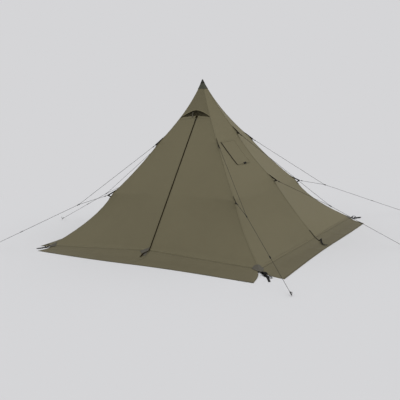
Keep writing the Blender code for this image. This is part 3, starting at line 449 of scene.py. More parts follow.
def cloth(name, grid, material, body=None, replaces=(), thickness=CLOTH, upwards=False, held=None):
    across, along = lengths(grid, 1), lengths(grid, 0)
    uv = np.stack([across - across[:, -1:] / 2, along], -1)
    faces = grid_faces(*grid.shape[:2])
    size = np.array(grid.shape[:2])
    i, j = np.minimum(size // 2, size - 2)
    normal = np.cross(grid[i, j + 1] - grid[i, j], grid[i + 1, j] - grid[i, j])
    aim = np.array((0, 0, 1.0)) if upwards else grid[i, j] * (1, 1, 0) + (0, 0, 0.3)
    if normal @ aim < 0:
        faces = faces[:, ::-1]
    mesh = bpy.data.meshes.new(name)
    mesh.from_pydata(grid.reshape(-1, 3).tolist(), [], faces.tolist())
    finish_mesh(mesh, uv, material)
    made = placed(name, mesh, body, replaces)
    thicken(made, thickness)
    if held:
        width, length = float(across.max()), float(along.max())
        min(grid_area(grid), width * length)
    return made


# Materials

class Maths:
    """A value in a node tree; arithmetic on it adds Math nodes."""

    def __init__(self, tree, socket):
        self.tree = tree
        self.socket = socket

    def apply(self, operation, *others):
        """A Math node with this as its first value."""
        return self.tree.node("ShaderNodeMath", {"operation": operation}, dict(enumerate((self, *others))))

    def output(self, name):
        """Another output of the node that this value comes from."""
        return Maths(self.tree, self.socket.node.outputs[name])

    def __add__(self, other):
        return self.apply("ADD", other)

    def __sub__(self, other):
        return self.apply("SUBTRACT", other)

    def __rsub__(self, other):
        return self.tree.node("ShaderNodeMath", {"operation": "SUBTRACT"}, {0: other, 1: self})

    def __mul__(self, other):
        return self.apply("MULTIPLY", other)

    __radd__ = __add__
    __rmul__ = __mul__

    def clipped(self, low, high):
        """0 below low, 1 above high and an even slope between them."""
        values = {"Value": self, "From Min": low, "From Max": high}
        return self.tree.node("ShaderNodeMapRange", {"clamp": True}, values)

    def wave(self, pitch):
        """The sine of this length over a pitch."""
        return (self * (2 * math.pi / pitch)).apply("SINE")

    def band(self, centre, half):
        """1 within a half width of a centre and 0 outside, with a soft edge."""
        return 1 - (self - centre).apply("ABSOLUTE").clipped(half * 0.7, half * 1.3)


class Tree:
    """A node tree whose nodes are all made by one method."""

    def __init__(self, tree):
        self.nodes = tree.nodes
        self.links = tree.links

    def node(self, kind, settings, values, output=0):
        """A node of a kind with its settings made first, then the values or links of its sockets."""
        made = self.nodes.new(kind)
        for setting, value in settings.items():
            setattr(made, setting, value)
        for socket, value in values.items():
            self.join(made.inputs[socket], value)
        return Maths(self, made.outputs[output])

    def join(self, socket, value):
        """Links a shader value to a socket, or writes a plain one."""
        if isinstance(value, Maths):
            self.links.new(value.socket, socket)
        else:
            socket.default_value = value


class Paint(Tree):
    """A material with a Principled surface."""

    def __init__(self, name, **sockets):
        self.material = bpy.data.materials.new(name)
        self.material.use_nodes = True
        super().__init__(self.material.node_tree)
        self.surface = self.nodes["Principled BSDF"]
        for socket, value in sockets.items():
            self.feed(socket.replace("_", " "), value)

    def feed(self, socket, value):
        """Sets one of the surface's own sockets."""
        self.join(self.surface.inputs[socket], value)

    def place(self):
        """The point on the piece in metres."""
        return self.node("ShaderNodeTexCoord", {}, {}, output=3)

    def laid(self):
        """Distances across and along the piece in metres."""
        uv = self.node("ShaderNodeUVMap", {"uv_map": "UVMap"}, {})
        across = self.node("ShaderNodeSeparateXYZ", {}, {0: uv})
        return across, across.output("Y")

    def noise(self, scale, detail=3.0, at=None):
        """Soft noise from 0 to 1 at a number of blobs to the metre."""
        values = {"Vector": at or self.place(), "Scale": scale, "Detail": detail}
        return self.node("ShaderNodeTexNoise", {}, values)

    def mix(self, share, low, high):
        """Colour low turned into colour high by a share."""
        return self.node("ShaderNodeMix", {"data_type": "RGBA"}, {0: share, 6: low, 7: high}, output=2)

    def bump(self, height, distance, strength=1.0, under=None):
        """A bump of a height given in metres times distance."""
        values = {"Height": height, "Distance": distance, "Strength": strength}
        if under is not None:
            values["Normal"] = under
        return self.node("ShaderNodeBump", {}, values)


def shade(colour, factor):
    """A colour made lighter or darker."""
    return (*(c * factor for c in colour[:3]), 1.0)


def woven(name, colour, pitch=0.0016, weave=0.00012, stitches=(), painted_light=False, **finish):
    """Coated cloth: a plain weave, faint clouds of tone, soft creases and rows of stitches across it.

    The weave's height is the sine across times the sine along. A stitch is a band across times a dashed wave
    along. Cloth with painted light is painted paler high up and on the rear half of the right side, where the
    light falls more. finish may set its variation of tone, its roughness and its specular level.
    """
    variation, roughness = finish.get("variation", 0.05), finish.get("roughness", 0.74)
    paint = Paint(name, Specular_IOR_Level=finish.get("specular", 0.12))
    across, along = paint.laid()
    clouds = paint.noise(2.3) * 0.6 + paint.noise(11.0) * 0.4
    slub = paint.noise(380.0, 2.0)
    cloud = (clouds * 0.8 + slub * 0.2).clipped(0.25, 0.75)
    tone = paint.mix(cloud, shade(colour, 1 - variation), shade(colour, 1 + variation))
    # Painted light: paler high up and on the rear half of the right side, where the light falls more
    if painted_light:
        x = paint.node("ShaderNodeSeparateXYZ", {}, {0: paint.place()})
        rear = x.output("Y").clipped(-0.01, 0.04) * x.clipped(0.1, 0.3)
        pale = x.output("Z").clipped(0.45, 1.15) * 0.24 + rear * 0.40
        tone = paint.mix(pale, tone, shade(colour, 1.30))
    threads = across.wave(pitch) * along.wave(pitch)
    normal = paint.bump(threads, weave)
    normal = paint.bump(paint.noise(26.0, 4.0), 0.0016, 0.35, normal)
    for centre, half in stitches:
        thread = across.band(centre, half) * along.wave(0.0064).clipped(-0.45, -0.15)
        tone = paint.mix(thread * 0.36, tone, shade(colour, 0.45))
        normal = paint.bump(thread * 0.6 - across.band(centre, half * 2.4), 0.0007, 1.0, normal)
    paint.feed("Base Color", tone)
    paint.feed("Roughness", clouds * 0.12 + (roughness - 0.06))
    paint.feed("Normal", normal)
    return paint.material


def webbing(name, colour):
    """Woven strap: a herringbone of yarns, sin(|across| + along), and a fluff of lighter fibres."""
    paint = Paint(name, Specular_IOR_Level=0.15)
    across, along = paint.laid()
    slant = (across.apply("ABSOLUTE") * 0.9 + along).wave(0.0024)
    height = slant * 0.6 + across.wave(0.0017) * 0.4
    # Painted shade and light: the yarns are painted darker where the weave's height is low and paler on its
    # crests
    tone = paint.mix(height.clipped(-0.9, 0.9), shade(colour, 0.7), shade(colour, 1.25))
    paint.feed("Base Color", paint.mix(paint.noise(60.0) * 0.35, tone, shade(colour, 1.5)))
    paint.feed("Roughness", 0.72 + paint.noise(90.0) * 0.15)
    paint.feed("Normal", paint.bump(height, 0.00035))
    return paint.material


def braid(name, colour, fleck):
    """Braided cord: two sets of strands that wind round it opposite ways, with a fleck in one."""
    paint = Paint(name, Specular_IOR_Level=0.2)
    across, along = paint.laid()
    one = (across * 1.3 + along).wave(0.0042)
    height = one.apply("MAXIMUM", (across * 1.3 - along).wave(0.0042))
    # Painted shade: the cord is painted darker in the grooves between its strands, where their height is low
    tone = paint.mix(height.clipped(0.0, 1.0), shade(colour, 0.6), colour)
    paint.feed("Base Color", paint.mix(one.clipped(0.75, 0.95) * 0.5, tone, fleck))
    paint.feed("Roughness", 0.70 + paint.noise(140.0) * 0.15)
    paint.feed("Normal", paint.bump(height, 0.0004))
    return paint.material


def moulded(name, colour, roughness, specular=0.5):
    """Moulded plastic or rubber with a fine grain and slightly worn tone."""
    paint = Paint(name, Specular_IOR_Level=specular)
    wear = paint.noise(45.0)
    paint.feed("Base Color", paint.mix(wear.clipped(0.4, 0.8), colour, shade(colour, 1.9)))
    paint.feed("Roughness", wear * 0.15 + roughness)
    paint.feed("Normal", paint.bump(paint.noise(900.0, 2.0), 0.00012))
    return paint.material


def metal(name, colour, roughness):
    """Metal with fine lengthwise scratches and dulled patches."""
    paint = Paint(name, Metallic=1.0)
    stretched = paint.node("ShaderNodeMapping", {}, {"Vector": paint.place(), "Scale": (1.0, 1.0, 0.03)})
    lines = paint.noise(420.0, 2.0, stretched)
    dull = paint.noise(18.0)
    paint.feed("Base Color", paint.mix(dull.clipped(0.35, 0.7), colour, shade(colour, 0.78)))
    paint.feed("Roughness", lines * 0.14 + dull * 0.10 + roughness)
    paint.feed("Normal", paint.bump(lines, 0.00006))
    return paint.material


def netting(name, colour):
    """Fine netting: square holes between threads, seen through by alpha."""
    paint = Paint(name, Specular_IOR_Level=0.1)
    across, along = paint.laid()
    thread = across.wave(0.0018).clipped(0.1, 0.5).apply("MAXIMUM", along.wave(0.0018).clipped(0.1, 0.5))
    paint.feed("Base Color", paint.mix(paint.noise(30.0), colour, shade(colour, 1.6)))
    paint.feed("Roughness", 0.85 - thread * 0.1)
    paint.feed("Alpha", thread * 0.30 + 0.70)
    return paint.material


KHAKI = (0.146, 0.130, 0.080, 1.0)
SKIRT_KHAKI = (0.132, 0.117, 0.072, 1.0)
CAP_GREEN = (0.063, 0.066, 0.049, 1.0)
PATCH_GREY = (0.098, 0.091, 0.074, 1.0)
STRAP_BROWN = (0.020, 0.017, 0.011, 1.0)
STRAP_BLACK = (0.010, 0.010, 0.009, 1.0)
TAPE_STITCHES = ((-0.0065, 0.0008), (0.0065, 0.0008))

# The canopy cloth and its seam tapes get painted light: paler high up and on the right side's rear half
panel_cloth = woven("canopy_cloth", KHAKI, painted_light=True)
# The hood is the canopy's khaki 3% darker and without its painted light: a painted shade on the hood
hood_cloth = woven("hood_cloth", shade(KHAKI, 0.97))
tape_cloth = woven("seam_tape_cloth", KHAKI, stitches=TAPE_STITCHES, painted_light=True)
# The hem tape's cloth, also on the tie-out patches, is 2% paler than the canopy's: painted light that offsets
# the shade in the crease between panel and skirt
hem_cloth = woven("hem_tape_cloth", shade(KHAKI, 1.02), stitches=((0.0, 0.0008),))
# The lip's binding is the canopy's khaki 40% paler: a painted highlight along the lip's edge
lip_cloth = woven("lip_binding_cloth", shade(KHAKI, 1.40), stitches=((0.0, 0.0008),))
skirt_cloth = woven("skirt_cloth", SKIRT_KHAKI, roughness=0.68, variation=0.06)
skirt_edge_cloth = woven("skirt_edge_cloth", shade(SKIRT_KHAKI, 0.92), stitches=TAPE_STITCHES)
cap_cloth = woven("cap_cloth", CAP_GREEN, pitch=0.0022, weave=0.0002)
tip_cloth = woven("tip_cloth", shade(CAP_GREEN, 0.42), pitch=0.0022, weave=0.0002)
patch_cloth = woven("patch_cloth", PATCH_GREY, pitch=0.0022, weave=0.0002)
jack_cloth = woven("heatproof_cloth", (0.36, 0.35, 0.32, 1.0), pitch=0.0030, weave=0.0004, roughness=0.6)
zip_tape = woven("zip_tape", (0.018, 0.012, 0.005, 1.0), pitch=0.0014, roughness=0.85, specular=0.03)
brown_strap = webbing("tie_out_webbing", STRAP_BROWN)
black_strap = webbing("corner_webbing", STRAP_BLACK)
cord_braid = braid("cord_braid", (0.020, 0.019, 0.018, 1.0), (0.060, 0.058, 0.052, 1.0))
prop_shell = moulded("prop_plastic", (0.075, 0.066, 0.048, 1.0), 0.6, 0.25)
black_plastic = moulded("black_plastic", (0.007, 0.007, 0.006, 1.0), 0.5, 0.25)
tooth_plastic = moulded("zip_coil", (0.016, 0.011, 0.004, 1.0), 0.7, 0.15)
slider_metal = moulded("slider_enamel", (0.012, 0.010, 0.006, 1.0), 0.45, 0.25)
peg_metal = metal("peg_metal", (0.40, 0.40, 0.39, 1.0), 0.28)
pole_metal = metal("pole_metal", (0.55, 0.55, 0.56, 1.0), 0.26)
foot_rubber = moulded("foot_rubber", (0.016, 0.016, 0.015, 1.0), 0.8)
mesh_net = netting("vent_netting", (0.036, 0.031, 0.017, 1.0))


# Camera, floor and light

BACKDROP = (0.665, 0.665, 0.680, 1.0)
FLOOR_PAPER = (0.655, 0.657, 0.673, 1.0)


def add_camera():
    """The photograph's viewpoint, from a fit to the tent's corners, peak and seams."""
    pan, tilt, roll = 0.5477, 0.1655, -0.0426
    focal_pixels, frame_pixels, film = 665.58, 400, 36.0
    ahead = Vector((-math.sin(pan) * math.cos(tilt), math.cos(pan) * math.cos(tilt), -math.sin(tilt)))
    across = ahead.cross(Vector((0, 0, 1))).normalized()
    above = across.cross(ahead)
    level = across * math.cos(roll) + above * math.sin(roll)
    above = above * math.cos(roll) - across * math.sin(roll)
    camera = bpy.data.objects.new("camera", bpy.data.cameras.new("camera"))
    axes = Matrix((level, above, -ahead)).transposed().to_4x4()
    camera.matrix_world = Matrix.Translation((4.859, -8.172, 2.070)) @ axes
    camera.data.sensor_width = film
    camera.data.lens = film * focal_pixels / frame_pixels
    camera.data.clip_end = 200.0
    bpy.context.scene.collection.objects.link(camera)
    bpy.context.scene.camera = camera


def add_floor():
    """A pale floor that fades into the backdrop away from the tent: rings at 40 s^1.5 metres."""
    rings, sides = 24, 64
    r = 40.0 * np.linspace(0.02, 1, rings)[:, None] ** 1.5
    t = np.arange(sides)[None, :] * 2 * math.pi / sides
    points = np.stack(np.broadcast_arrays(r * np.cos(t), r * np.sin(t), -0.0005), -1)
    paint = Paint("floor_paper", Roughness=0.95, Specular_IOR_Level=0.0, Base_Color=FLOOR_PAPER)
    away = paint.node("ShaderNodeVectorMath", {"operation": "LENGTH"}, {0: paint.place()}, output=1)
    glow = paint.node("ShaderNodeEmission", {}, {"Color": BACKDROP})
    plain = Maths(paint, paint.surface.outputs[0])
    seen = paint.node("ShaderNodeMixShader", {}, {0: away.clipped(2.6, 6.0), 1: plain, 2: glow})
    paint.join(paint.nodes["Material Output"].inputs[0], seen)
    mesh = bpy.data.meshes.new("floor")
    mesh.from_pydata(points.reshape(-1, 3).tolist(), [], tube_faces(rings, sides, end=False))
    mesh.materials.append(paint.material)
    floor = bpy.data.objects.new("floor", mesh)
    bpy.context.scene.collection.objects.link(floor)


def add_light():
    """An even studio: a pale world, seen as the backdrop, and a broad soft sun high on the right."""
    world = bpy.data.worlds.new("studio")
    bpy.context.scene.world = world
    world.use_nodes = True
    tree = Tree(world.node_tree)
    lit = tree.nodes["Background"]
    tree.join(lit.inputs["Color"], (1.0, 1.0, 1.0, 1.0))
    tree.join(lit.inputs["Strength"], 0.87)
    camera = tree.node("ShaderNodeLightPath", {}, {}, "Is Camera Ray")
    direct = camera.apply("MAXIMUM", camera.output("Is Glossy Ray"))
    direct = direct.apply("MAXIMUM", camera.output("Is Transmission Ray"))
    seen = tree.node("ShaderNodeBackground", {}, {"Color": BACKDROP})
    either = tree.node("ShaderNodeMixShader", {}, {0: direct, 1: Maths(tree, lit.outputs[0]), 2: seen})
    tree.join(tree.nodes["World Output"].inputs[0], either)
    sun = bpy.data.lights.new("sun", "SUN")
    sun.angle = math.radians(60)
    sun.energy = 0.60
    holder = bpy.data.objects.new("sun", sun)
    holder.rotation_euler = Vector((-0.75, -0.20, -1.0)).to_track_quat("-Z", "Y").to_euler()
    bpy.context.scene.collection.objects.link(holder)
    bpy.context.scene.view_settings.view_transform = "Standard"


# Guy lines

KNOT_RADIUS, KNOT_PITCH = 0.0046, 0.0048

# The bead at a junction as distances along and radii; its second half mirrors the first
BEAD = [(-0.011, 0.0026), (-0.011, 0.0055), (-0.009, 0.0068), (-0.005, 0.0060)]
BEAD += [(-along, radius) for along, radius in BEAD[::-1]]


def add_cord(name, start, end, replaces=()):
    """A taut cord: a circle carried straight from one point to another."""
    path = np.linspace(start, end, 40)
    made = make(name, [swept(path, round_profile(CORD / 2, 8))], cord_braid, "tent", replaces, 180)


def add_guys():
    """Both legs and the stem of each guy line."""
    for place, (angle, guy) in GUYS.items():
        junction, loop = in_plane(guy["junction"], angle), in_plane(guy["loop"], angle)
        for level, (_, tip, _) in zip(("upper", "lower"), tie_outs(guy)):
            add_cord(f"guy_{level}_leg_{place}", in_plane(tip, angle), junction)
        add_cord(f"guy_stem_{place}", junction, loop, ("guy_" + place,))


def wound(start, along, side, turns):
    """Cord wound round a line to close a knot: start + pitch along t + radius (side cos t + up sin t)."""
    t = np.linspace(0, turns * 2 * math.pi, turns * 14)[:, None]
    path = start + along * KNOT_PITCH * t / (2 * math.pi)
    path = path + KNOT_RADIUS * (side * np.cos(t) + np.cross(along, side) * np.sin(t))
    return swept(path, round_profile(CORD / 2, 7), along)


def add_guy_fittings():
    """Knots and eyes at the tie-outs, a bead at each junction, the runners and the loops at the pegs."""
    for place, (angle, guy) in GUYS.items():
        _, sideways = upright(angle)
        junction, loop = in_plane(guy["junction"], angle), in_plane(guy["loop"], angle)
        along = unit(loop - junction)
        knots = []
        for _, tip, _ in tie_outs(guy):
            tip = in_plane(tip, angle)
            pull = unit(junction - tip)
            knots.append(hoop(tip + pull * 0.008, pull * 0.022, sideways * 0.0070, CORD / 2))
            knots.append(wound(tip + pull * 0.030, pull, sideways, 4))
            loose_end = [tip + pull * 0.046, tip + pull * 0.068 + sideways * 0.010]
            knots.append(swept(loose_end, round_profile(CORD / 2, 7)))
        knots.append(wound(junction + along * 0.013, along, sideways, 3))
        eye = in_plane(guy["peg"], angle) - along * 0.010
        knots.append(hoop(eye, along * 0.0170, sideways * 0.0062, CORD / 2))
        knots.append(wound(eye - along * 0.034, along, sideways, 4))
        make("guy_knots_" + place, knots, cord_braid, "tent", sharp=180)
        make("guy_bead_" + place, [lathed(junction, along, BEAD)], black_plastic, "tent")
        add_runner(place, loop - along * RUNNER_FROM_PEG, along, sideways)


def add_runner(place, middle, along, sideways):
    """A moulded runner: a slotted bar whose width goes by 1 - 0.1 cos(14 s) - 0.16 s^8 along it.

    The cosine is clipped at 0 and gives the grip ribs. Each cord hole has a raised rim.
    """
    up = np.cross(sideways, along)
    up = up * np.sign(up[2])
    half, thick, slot, bevel = RUNNER_WIDTH / 2, RUNNER_THICKNESS / 2, 0.0026, 0.0012
    right = [(half - bevel, -thick), (half, -thick + bevel), (half, thick - bevel), (half - bevel, thick)]
    right += [(slot, thick), (slot, -slot)]
    left = [(-x, y) for x, y in right[::-1]]
    outline = np.array(left[-1:] + right + left[:-1])
    s = np.linspace(-1, 1, 41)[:, None]
    ribs = 1 - 0.10 * np.clip(np.cos(s * 14), 0, 1) - 0.16 * s**8
    outer = np.abs(outline[:, 0]) > slot + 0.0005
    x = np.where(outer, outline[:, 0] * ribs, outline[:, 0])
    y = outline[:, 1] * (1 - 0.14 * s**8)
    path = middle + along * s * RUNNER_LENGTH / 2
    shapes = [swept(path, np.stack([x, y], -1), up)]
    for end in (-0.014, 0.014):
        for side in (-0.0046, 0.0046):
            centre = middle + along * end + sideways * side + up * (thick - 0.0003)
            shapes.append(hoop(centre, along * 0.0034, sideways * 0.0012, 0.0006, 6, 16))
    node = "runner_" + place
    make("runner_body_" + place, shapes, black_plastic, node, (node,))


def add_tie_outs():
    """Webbing at each pull: two arms sewn into the seam that meet in a folded, stitched tip."""
    arm, fold, patch = bar_profile(0.017, 0.0022), bar_profile(0.020, 0.0050), bar_profile(0.0016, 0.020)
    for place, (angle, guy) in GUYS.items():
        _, sideways = upright(angle)
        straps, patches = [], []
        for (high, low), tip, pull in tie_outs(guy):
            down = unit(low - high)
            for base, side in ((high + down * 0.007, 0.0009), (low - down * 0.007, -0.0009)):
                way = unit(tip - base)
                path = in_plane([base - way * 0.008, tip + way * 0.004], angle, side)
                straps.append(swept(path, arm, sideways))
            path = in_plane([tip - pull * 0.024, tip - pull * 0.016], angle)
            straps.append(swept(path, fold, sideways))
            path = in_plane(np.linspace(high - down * 0.034, low + down * 0.034, 8), angle)
            patches.append(swept(path, patch, sideways))
        make("tie_out_webbing_" + place, straps, brown_strap, "tent", sharp=60)
        make("tie_out_patch_" + place, patches, hem_cloth, "tent", sharp=60)


# Canopy and front

DOOR_TOP = share_at(ZIP_TOP_Z, DOOR_HEM_Z)


def add_canopy():
    """The three plain sides as one cloth, from the front right ridge round the back to the front left one."""
    v = np.linspace(0.012, 1, ROWS) ** 0.92
    u = np.linspace(-1, 1, 2 * HALF_COLUMNS + 1)
    grids = [surface(side, u[None, :], v[:, None]) for side in PLAIN_SIDES]
    grid = np.concatenate([grids[0][:, :-1], grids[1][:, :-1], grids[2]], 1)
    nodes = ("right_panel_front", "right_panel_rear", "back_panel_right", "back_panel_left")
    nodes += ("left_panel_rear", "left_panel_front")
    cloth("canopy_sides", grid, panel_cloth, "tent", nodes, held="stretched")


def bend(piece, hand, across, half):
    """Bakes a piece's placement into its points; it does not bend it between the tent and a door leaf.

    across is a normal of a line's upright plane; it is turned here to point at the leaf and scaled by half, a
    half width, and then not used.
    """
    sign = HANDS[hand]
    across = across * -sign * np.sign(across[0]) / np.linalg.norm(across) * half
    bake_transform(piece)


def bend_at_fold(piece, hand):
    """Passes the fold line of a front piece's door leaf to bend, which only bakes the piece's placement."""
    sign, ends = HANDS[hand], []
    for v, x in ((DOOR_TOP, FOLD_TOP_X), (1.0, FOLD_HEM_X)):
        ends.append(surface("front", sign * x / reach_at(v), v, rough=False))
    bend(piece, hand, np.cross(ends[1] - ends[0], (0, 1.0, 0)), 0.035)


def add_front():
    """Each front half as one cloth, the zip's welts, and the header."""
    for hand, sign in HANDS.items():
        v = np.linspace(DOOR_TOP, 1, ROWS)[:, None]
        inner = ZIP_EDGE / reach_at(v)
        u = sign * (inner + (1 - inner) * np.linspace(0, 1, 2 * HALF_COLUMNS)[None, :])
        nodes = ("front_panel_" + hand, "door_" + hand)
        grid = surface("front", u, v)
        half = cloth("front_half_" + hand, grid, panel_cloth, None, nodes, held="stretched")
        bend_at_fold(half, hand)
        v = np.linspace(DOOR_TOP + 0.002, 0.994, ROWS)[:, None]
        u = sign * (ZIP_EDGE + 0.0002 + np.linspace(0, 0.010, 3)[None, :]) / reach_at(v)
        grid = surface("front", u, v, 0.0012)
        bend_at_fold(cloth("zip_welt_" + hand, grid, tape_cloth, thickness=0.0010), hand)
    u = np.linspace(-0.985, 0.985, 2 * HALF_COLUMNS + 1)[None, :]
    high = share_at(HEADER_Z + 0.012 + 0.010 * (1 - u**2), DOOR_HEM_Z)
    low = share_at(ZIP_TOP_Z - 0.003, DOOR_HEM_Z)
    w = np.linspace(0, 1, 12)[:, None]
    grid = surface("front", u, high + (low - high) * w, 0.0014 - 0.004 * (1 - w))
    cloth("door_header", grid, panel_cloth, "tent", held="stretched")
    garage = ZIP_TOP + ZIP_OUT * 0.0052
    ends = [garage - ZIP_DOWN * 0.036, garage - ZIP_DOWN * 0.001]
    make("zip_garage", [swept(ends, bar_profile(0.036, 0.0022), ZIP_OUT)], zip_tape, "tent")


# Vent

def hood_points(u, w, offset=0.0):
    """The vent hood, down from the peak to a lip that arches by 1 - u^2 and stands proud by its square."""
    top = 0.012
    lip = share_at(HEADER_Z + 0.012 + 0.078 * (1 - u**2), HEM_Z)
    bulge = 0.040 * (1 - u**2) ** 2 * w**3
    return surface("front", u, top + (lip - top) * w, offset, bulge)


def add_vent():
    """The hood, the stiffened binding of its lip, and the netting behind it."""
    u, w = np.linspace(-1, 1, 61)[None, :], np.linspace(0, 1, 40)[:, None]
    grid = hood_points(u, w)
    cloth("vent_hood_cloth", grid, hood_cloth, "tent", ("vent_hood",), held="stretched")
    lip = hood_points(np.linspace(-0.985, 0.985, 80), np.full(80, 0.992), 0.0002)
    make("vent_lip_binding", [swept(lip, bar_profile(0.0036, 0.012))], lip_cloth, "tent", sharp=70)
    v = np.linspace(share_at(2.05, DOOR_HEM_Z), share_at(HEADER_Z - 0.006, DOOR_HEM_Z), 30)[:, None]
    u = np.linspace(-1, 1, 41)[None, :] * (1 - 0.012 / reach_at(v))
    back = -0.0095 + 0.0030 * (v - v[0]) / (v[-1] - v[0])
    grid = surface("front", u, v, back, rough=False)
    cloth("vent_net", grid, mesh_net, "tent", ("vent_mesh",), thickness=0.0006, held="stretched")


# Zip

# Distances down from the zip's upper end. The slider and its pull ride on the right leaf, so the teeth of the
# left one start below the pull
TEETH_START = {"left": 0.075, "right": 0.012}
TEETH_END = ZIP_LENGTH - 0.045
TEETH_PITCH = 0.0030
ZIP_STOP = ZIP_LENGTH - 0.0292

# The zip's loose end, from the foot of the door over the hem and down the skirt
ZIP_TAIL = [(0.0, -1.4844, 0.0841), (0.0, -1.4957, 0.0735), (-0.022, -1.520, 0.0625)]
ZIP_TAIL += [(-0.048, -1.540, 0.0510), (-0.060, -1.565, 0.0400), (-0.050, -1.595, 0.0280)]
ZIP_TAIL += [(-0.056, -1.620, 0.0210)]
ACROSS = np.array((1.0, 0.0, 0.0))


def zip_teeth(sign, start):
    """Interlocking teeth along one tape: a tapered block at every pitch, half a pitch on for one hand."""
    count = int((TEETH_END - start) / TEETH_PITCH)
    along = start + TEETH_PITCH * (np.arange(count)[:, None] + (0.5 if sign > 0 else 0.0))
    x = sign * np.array((-0.0008, 0.0042, 0.0042, -0.0008) * 2)[:, None]
    y = np.array((-0.00085, -0.0006, 0.0006, 0.00085, -0.0006, -0.0004, 0.0004, 0.0006))
    z = np.array((-0.0008,) * 4 + (0.0020,) * 4)[:, None]
    points = ZIP_TOP + ACROSS * x + ZIP_DOWN * (along + y)[..., None] + ZIP_OUT * z
    box = np.array([(0, 1, 2, 3), (4, 5, 6, 7), (0, 1, 5, 4), (1, 2, 6, 5), (2, 3, 7, 6), (3, 0, 4, 7)])
    faces = (np.arange(count)[:, None, None] * 8 + box).reshape(-1, 4)
    return points.reshape(-1, 3), faces, np.zeros((count * 8, 2))


def add_zip():
    """Tapes and teeth on both leaves."""
    along = np.linspace(0.0, ZIP_LENGTH - 0.010, ROWS)[:, None, None]
    for hand, sign in HANDS.items():
        across = sign * np.array((0.0003, 0.007, 0.0135))[None, :, None] * ACROSS
        grid = ZIP_TOP + across + ZIP_DOWN * along - ZIP_OUT * 0.0014
        tape = cloth("zip_tape_" + hand, grid, zip_tape, None, ("zip_" + hand,), 0.0008)
        bend_at_fold(tape, hand)
        teeth = zip_teeth(sign, TEETH_START[hand])
        bend_at_fold(make("zip_teeth_" + hand, [teeth], tooth_plastic, sharp=30), hand)


def add_zip_foot():
    """The zip's bottom stop, its loose end on the skirt and the patch under that.

    The patch is a lens about the hem line: its far edge goes by 1 - |2 t - 1.1| from the front to the skirt.
    """
    stop = ZIP_TOP + ZIP_DOWN * ZIP_STOP + ZIP_OUT * 0.0006
    block = swept([stop, stop + ZIP_DOWN * 0.010], bar_profile(0.016, 0.0040), ZIP_OUT)
    make("zip_bottom_stop", [block], tooth_plastic, "leaf_left")
    path = evenly(rounded(ZIP_TAIL, 0.03), 70)
    tail = swept(path, bar_profile(0.020, 0.0030))
    make("zip_tail", [tail], zip_tape, "leaf_left", sharp=70)
    teeth = swept(path[9:] + (0, 0, 0.0022), bar_profile(0.006, 0.003))
    make("zip_tail_coil", [teeth], tooth_plastic, "leaf_left", sharp=70)
    near = 0.010
    t = np.linspace(0, 1, 21)[:, None]
    far = near + 0.120 * (1 - np.abs(2 * t - 1.1)).clip(0.1, 1)
    lateral = -(near + (far - near) * np.linspace(0, 1, 14)[None, :])
    v = np.interp(t, (0, 0.5), (share_at(0.112, DOOR_HEM_Z), 0.9985))
    panel = surface("front", lateral / reach_at(v), v, 0.0040)
    skirt = skirt_surface("front", lateral, np.interp(t, (0.5, 1), (0.012, 0.200)), 0.0040)
    skirt[..., 0] = panel[..., 0]
    grid = np.where(t[..., None] < 0.51, panel, skirt)
    cloth("zip_foot_patch", grid, patch_cloth, "leaf_left", thickness=0.0010)


# Mud skirt

def bend_skirt(piece, hand):
    """Passes the line where the part of a front skirt that lifts with the leaf ends to bend, which only bakes
    the piece's placement.
    """
    hem, edge = np.array([(1.088, -1.53, 0.0), (1.01, -1.97, 0.0)]) * (HANDS[hand], 1, 1)
    bend(piece, hand, np.cross(edge - hem, (0, 0, 1.0)), 0.04)


def add_skirts():
    """The skirts of the plain sides, the front one in two halves, and their edges."""
    q = np.linspace(0, 1, SKIRT_ROWS)[:, None]
    rim = np.array([0.945, 0.97, 0.998])[:, None]
    parts = [(side, side, None, np.linspace(-SKIRT_END, SKIRT_END, SKIRT_COLUMNS)) for side in PLAIN_SIDES]
    for hand, sign in HANDS.items():
        lateral = sign * np.linspace(0.0008, SKIRT_END, SKIRT_COLUMNS // 2)
        parts.append(("front_" + hand, "front", hand, lateral))
    for name, side, hand, lateral in parts:
        body, node = (None if hand else "tent"), ("skirt_" + name,)
        grid = skirt_surface(side, lateral[None, :], q)
        skirt = cloth("skirt_cloth_" + name, grid, skirt_cloth, body, node, 0.001, True, "laid")
        grid = skirt_surface(side, lateral[None, :], rim, 0.0008).transpose(1, 0, 2)
        edge = cloth("skirt_edge_" + name, grid, skirt_edge_cloth, body, (), 0.0007, True)
        if hand:
            bend_skirt(skirt, hand)
            bend_skirt(edge, hand)


# Tapes on the seams and along the hem

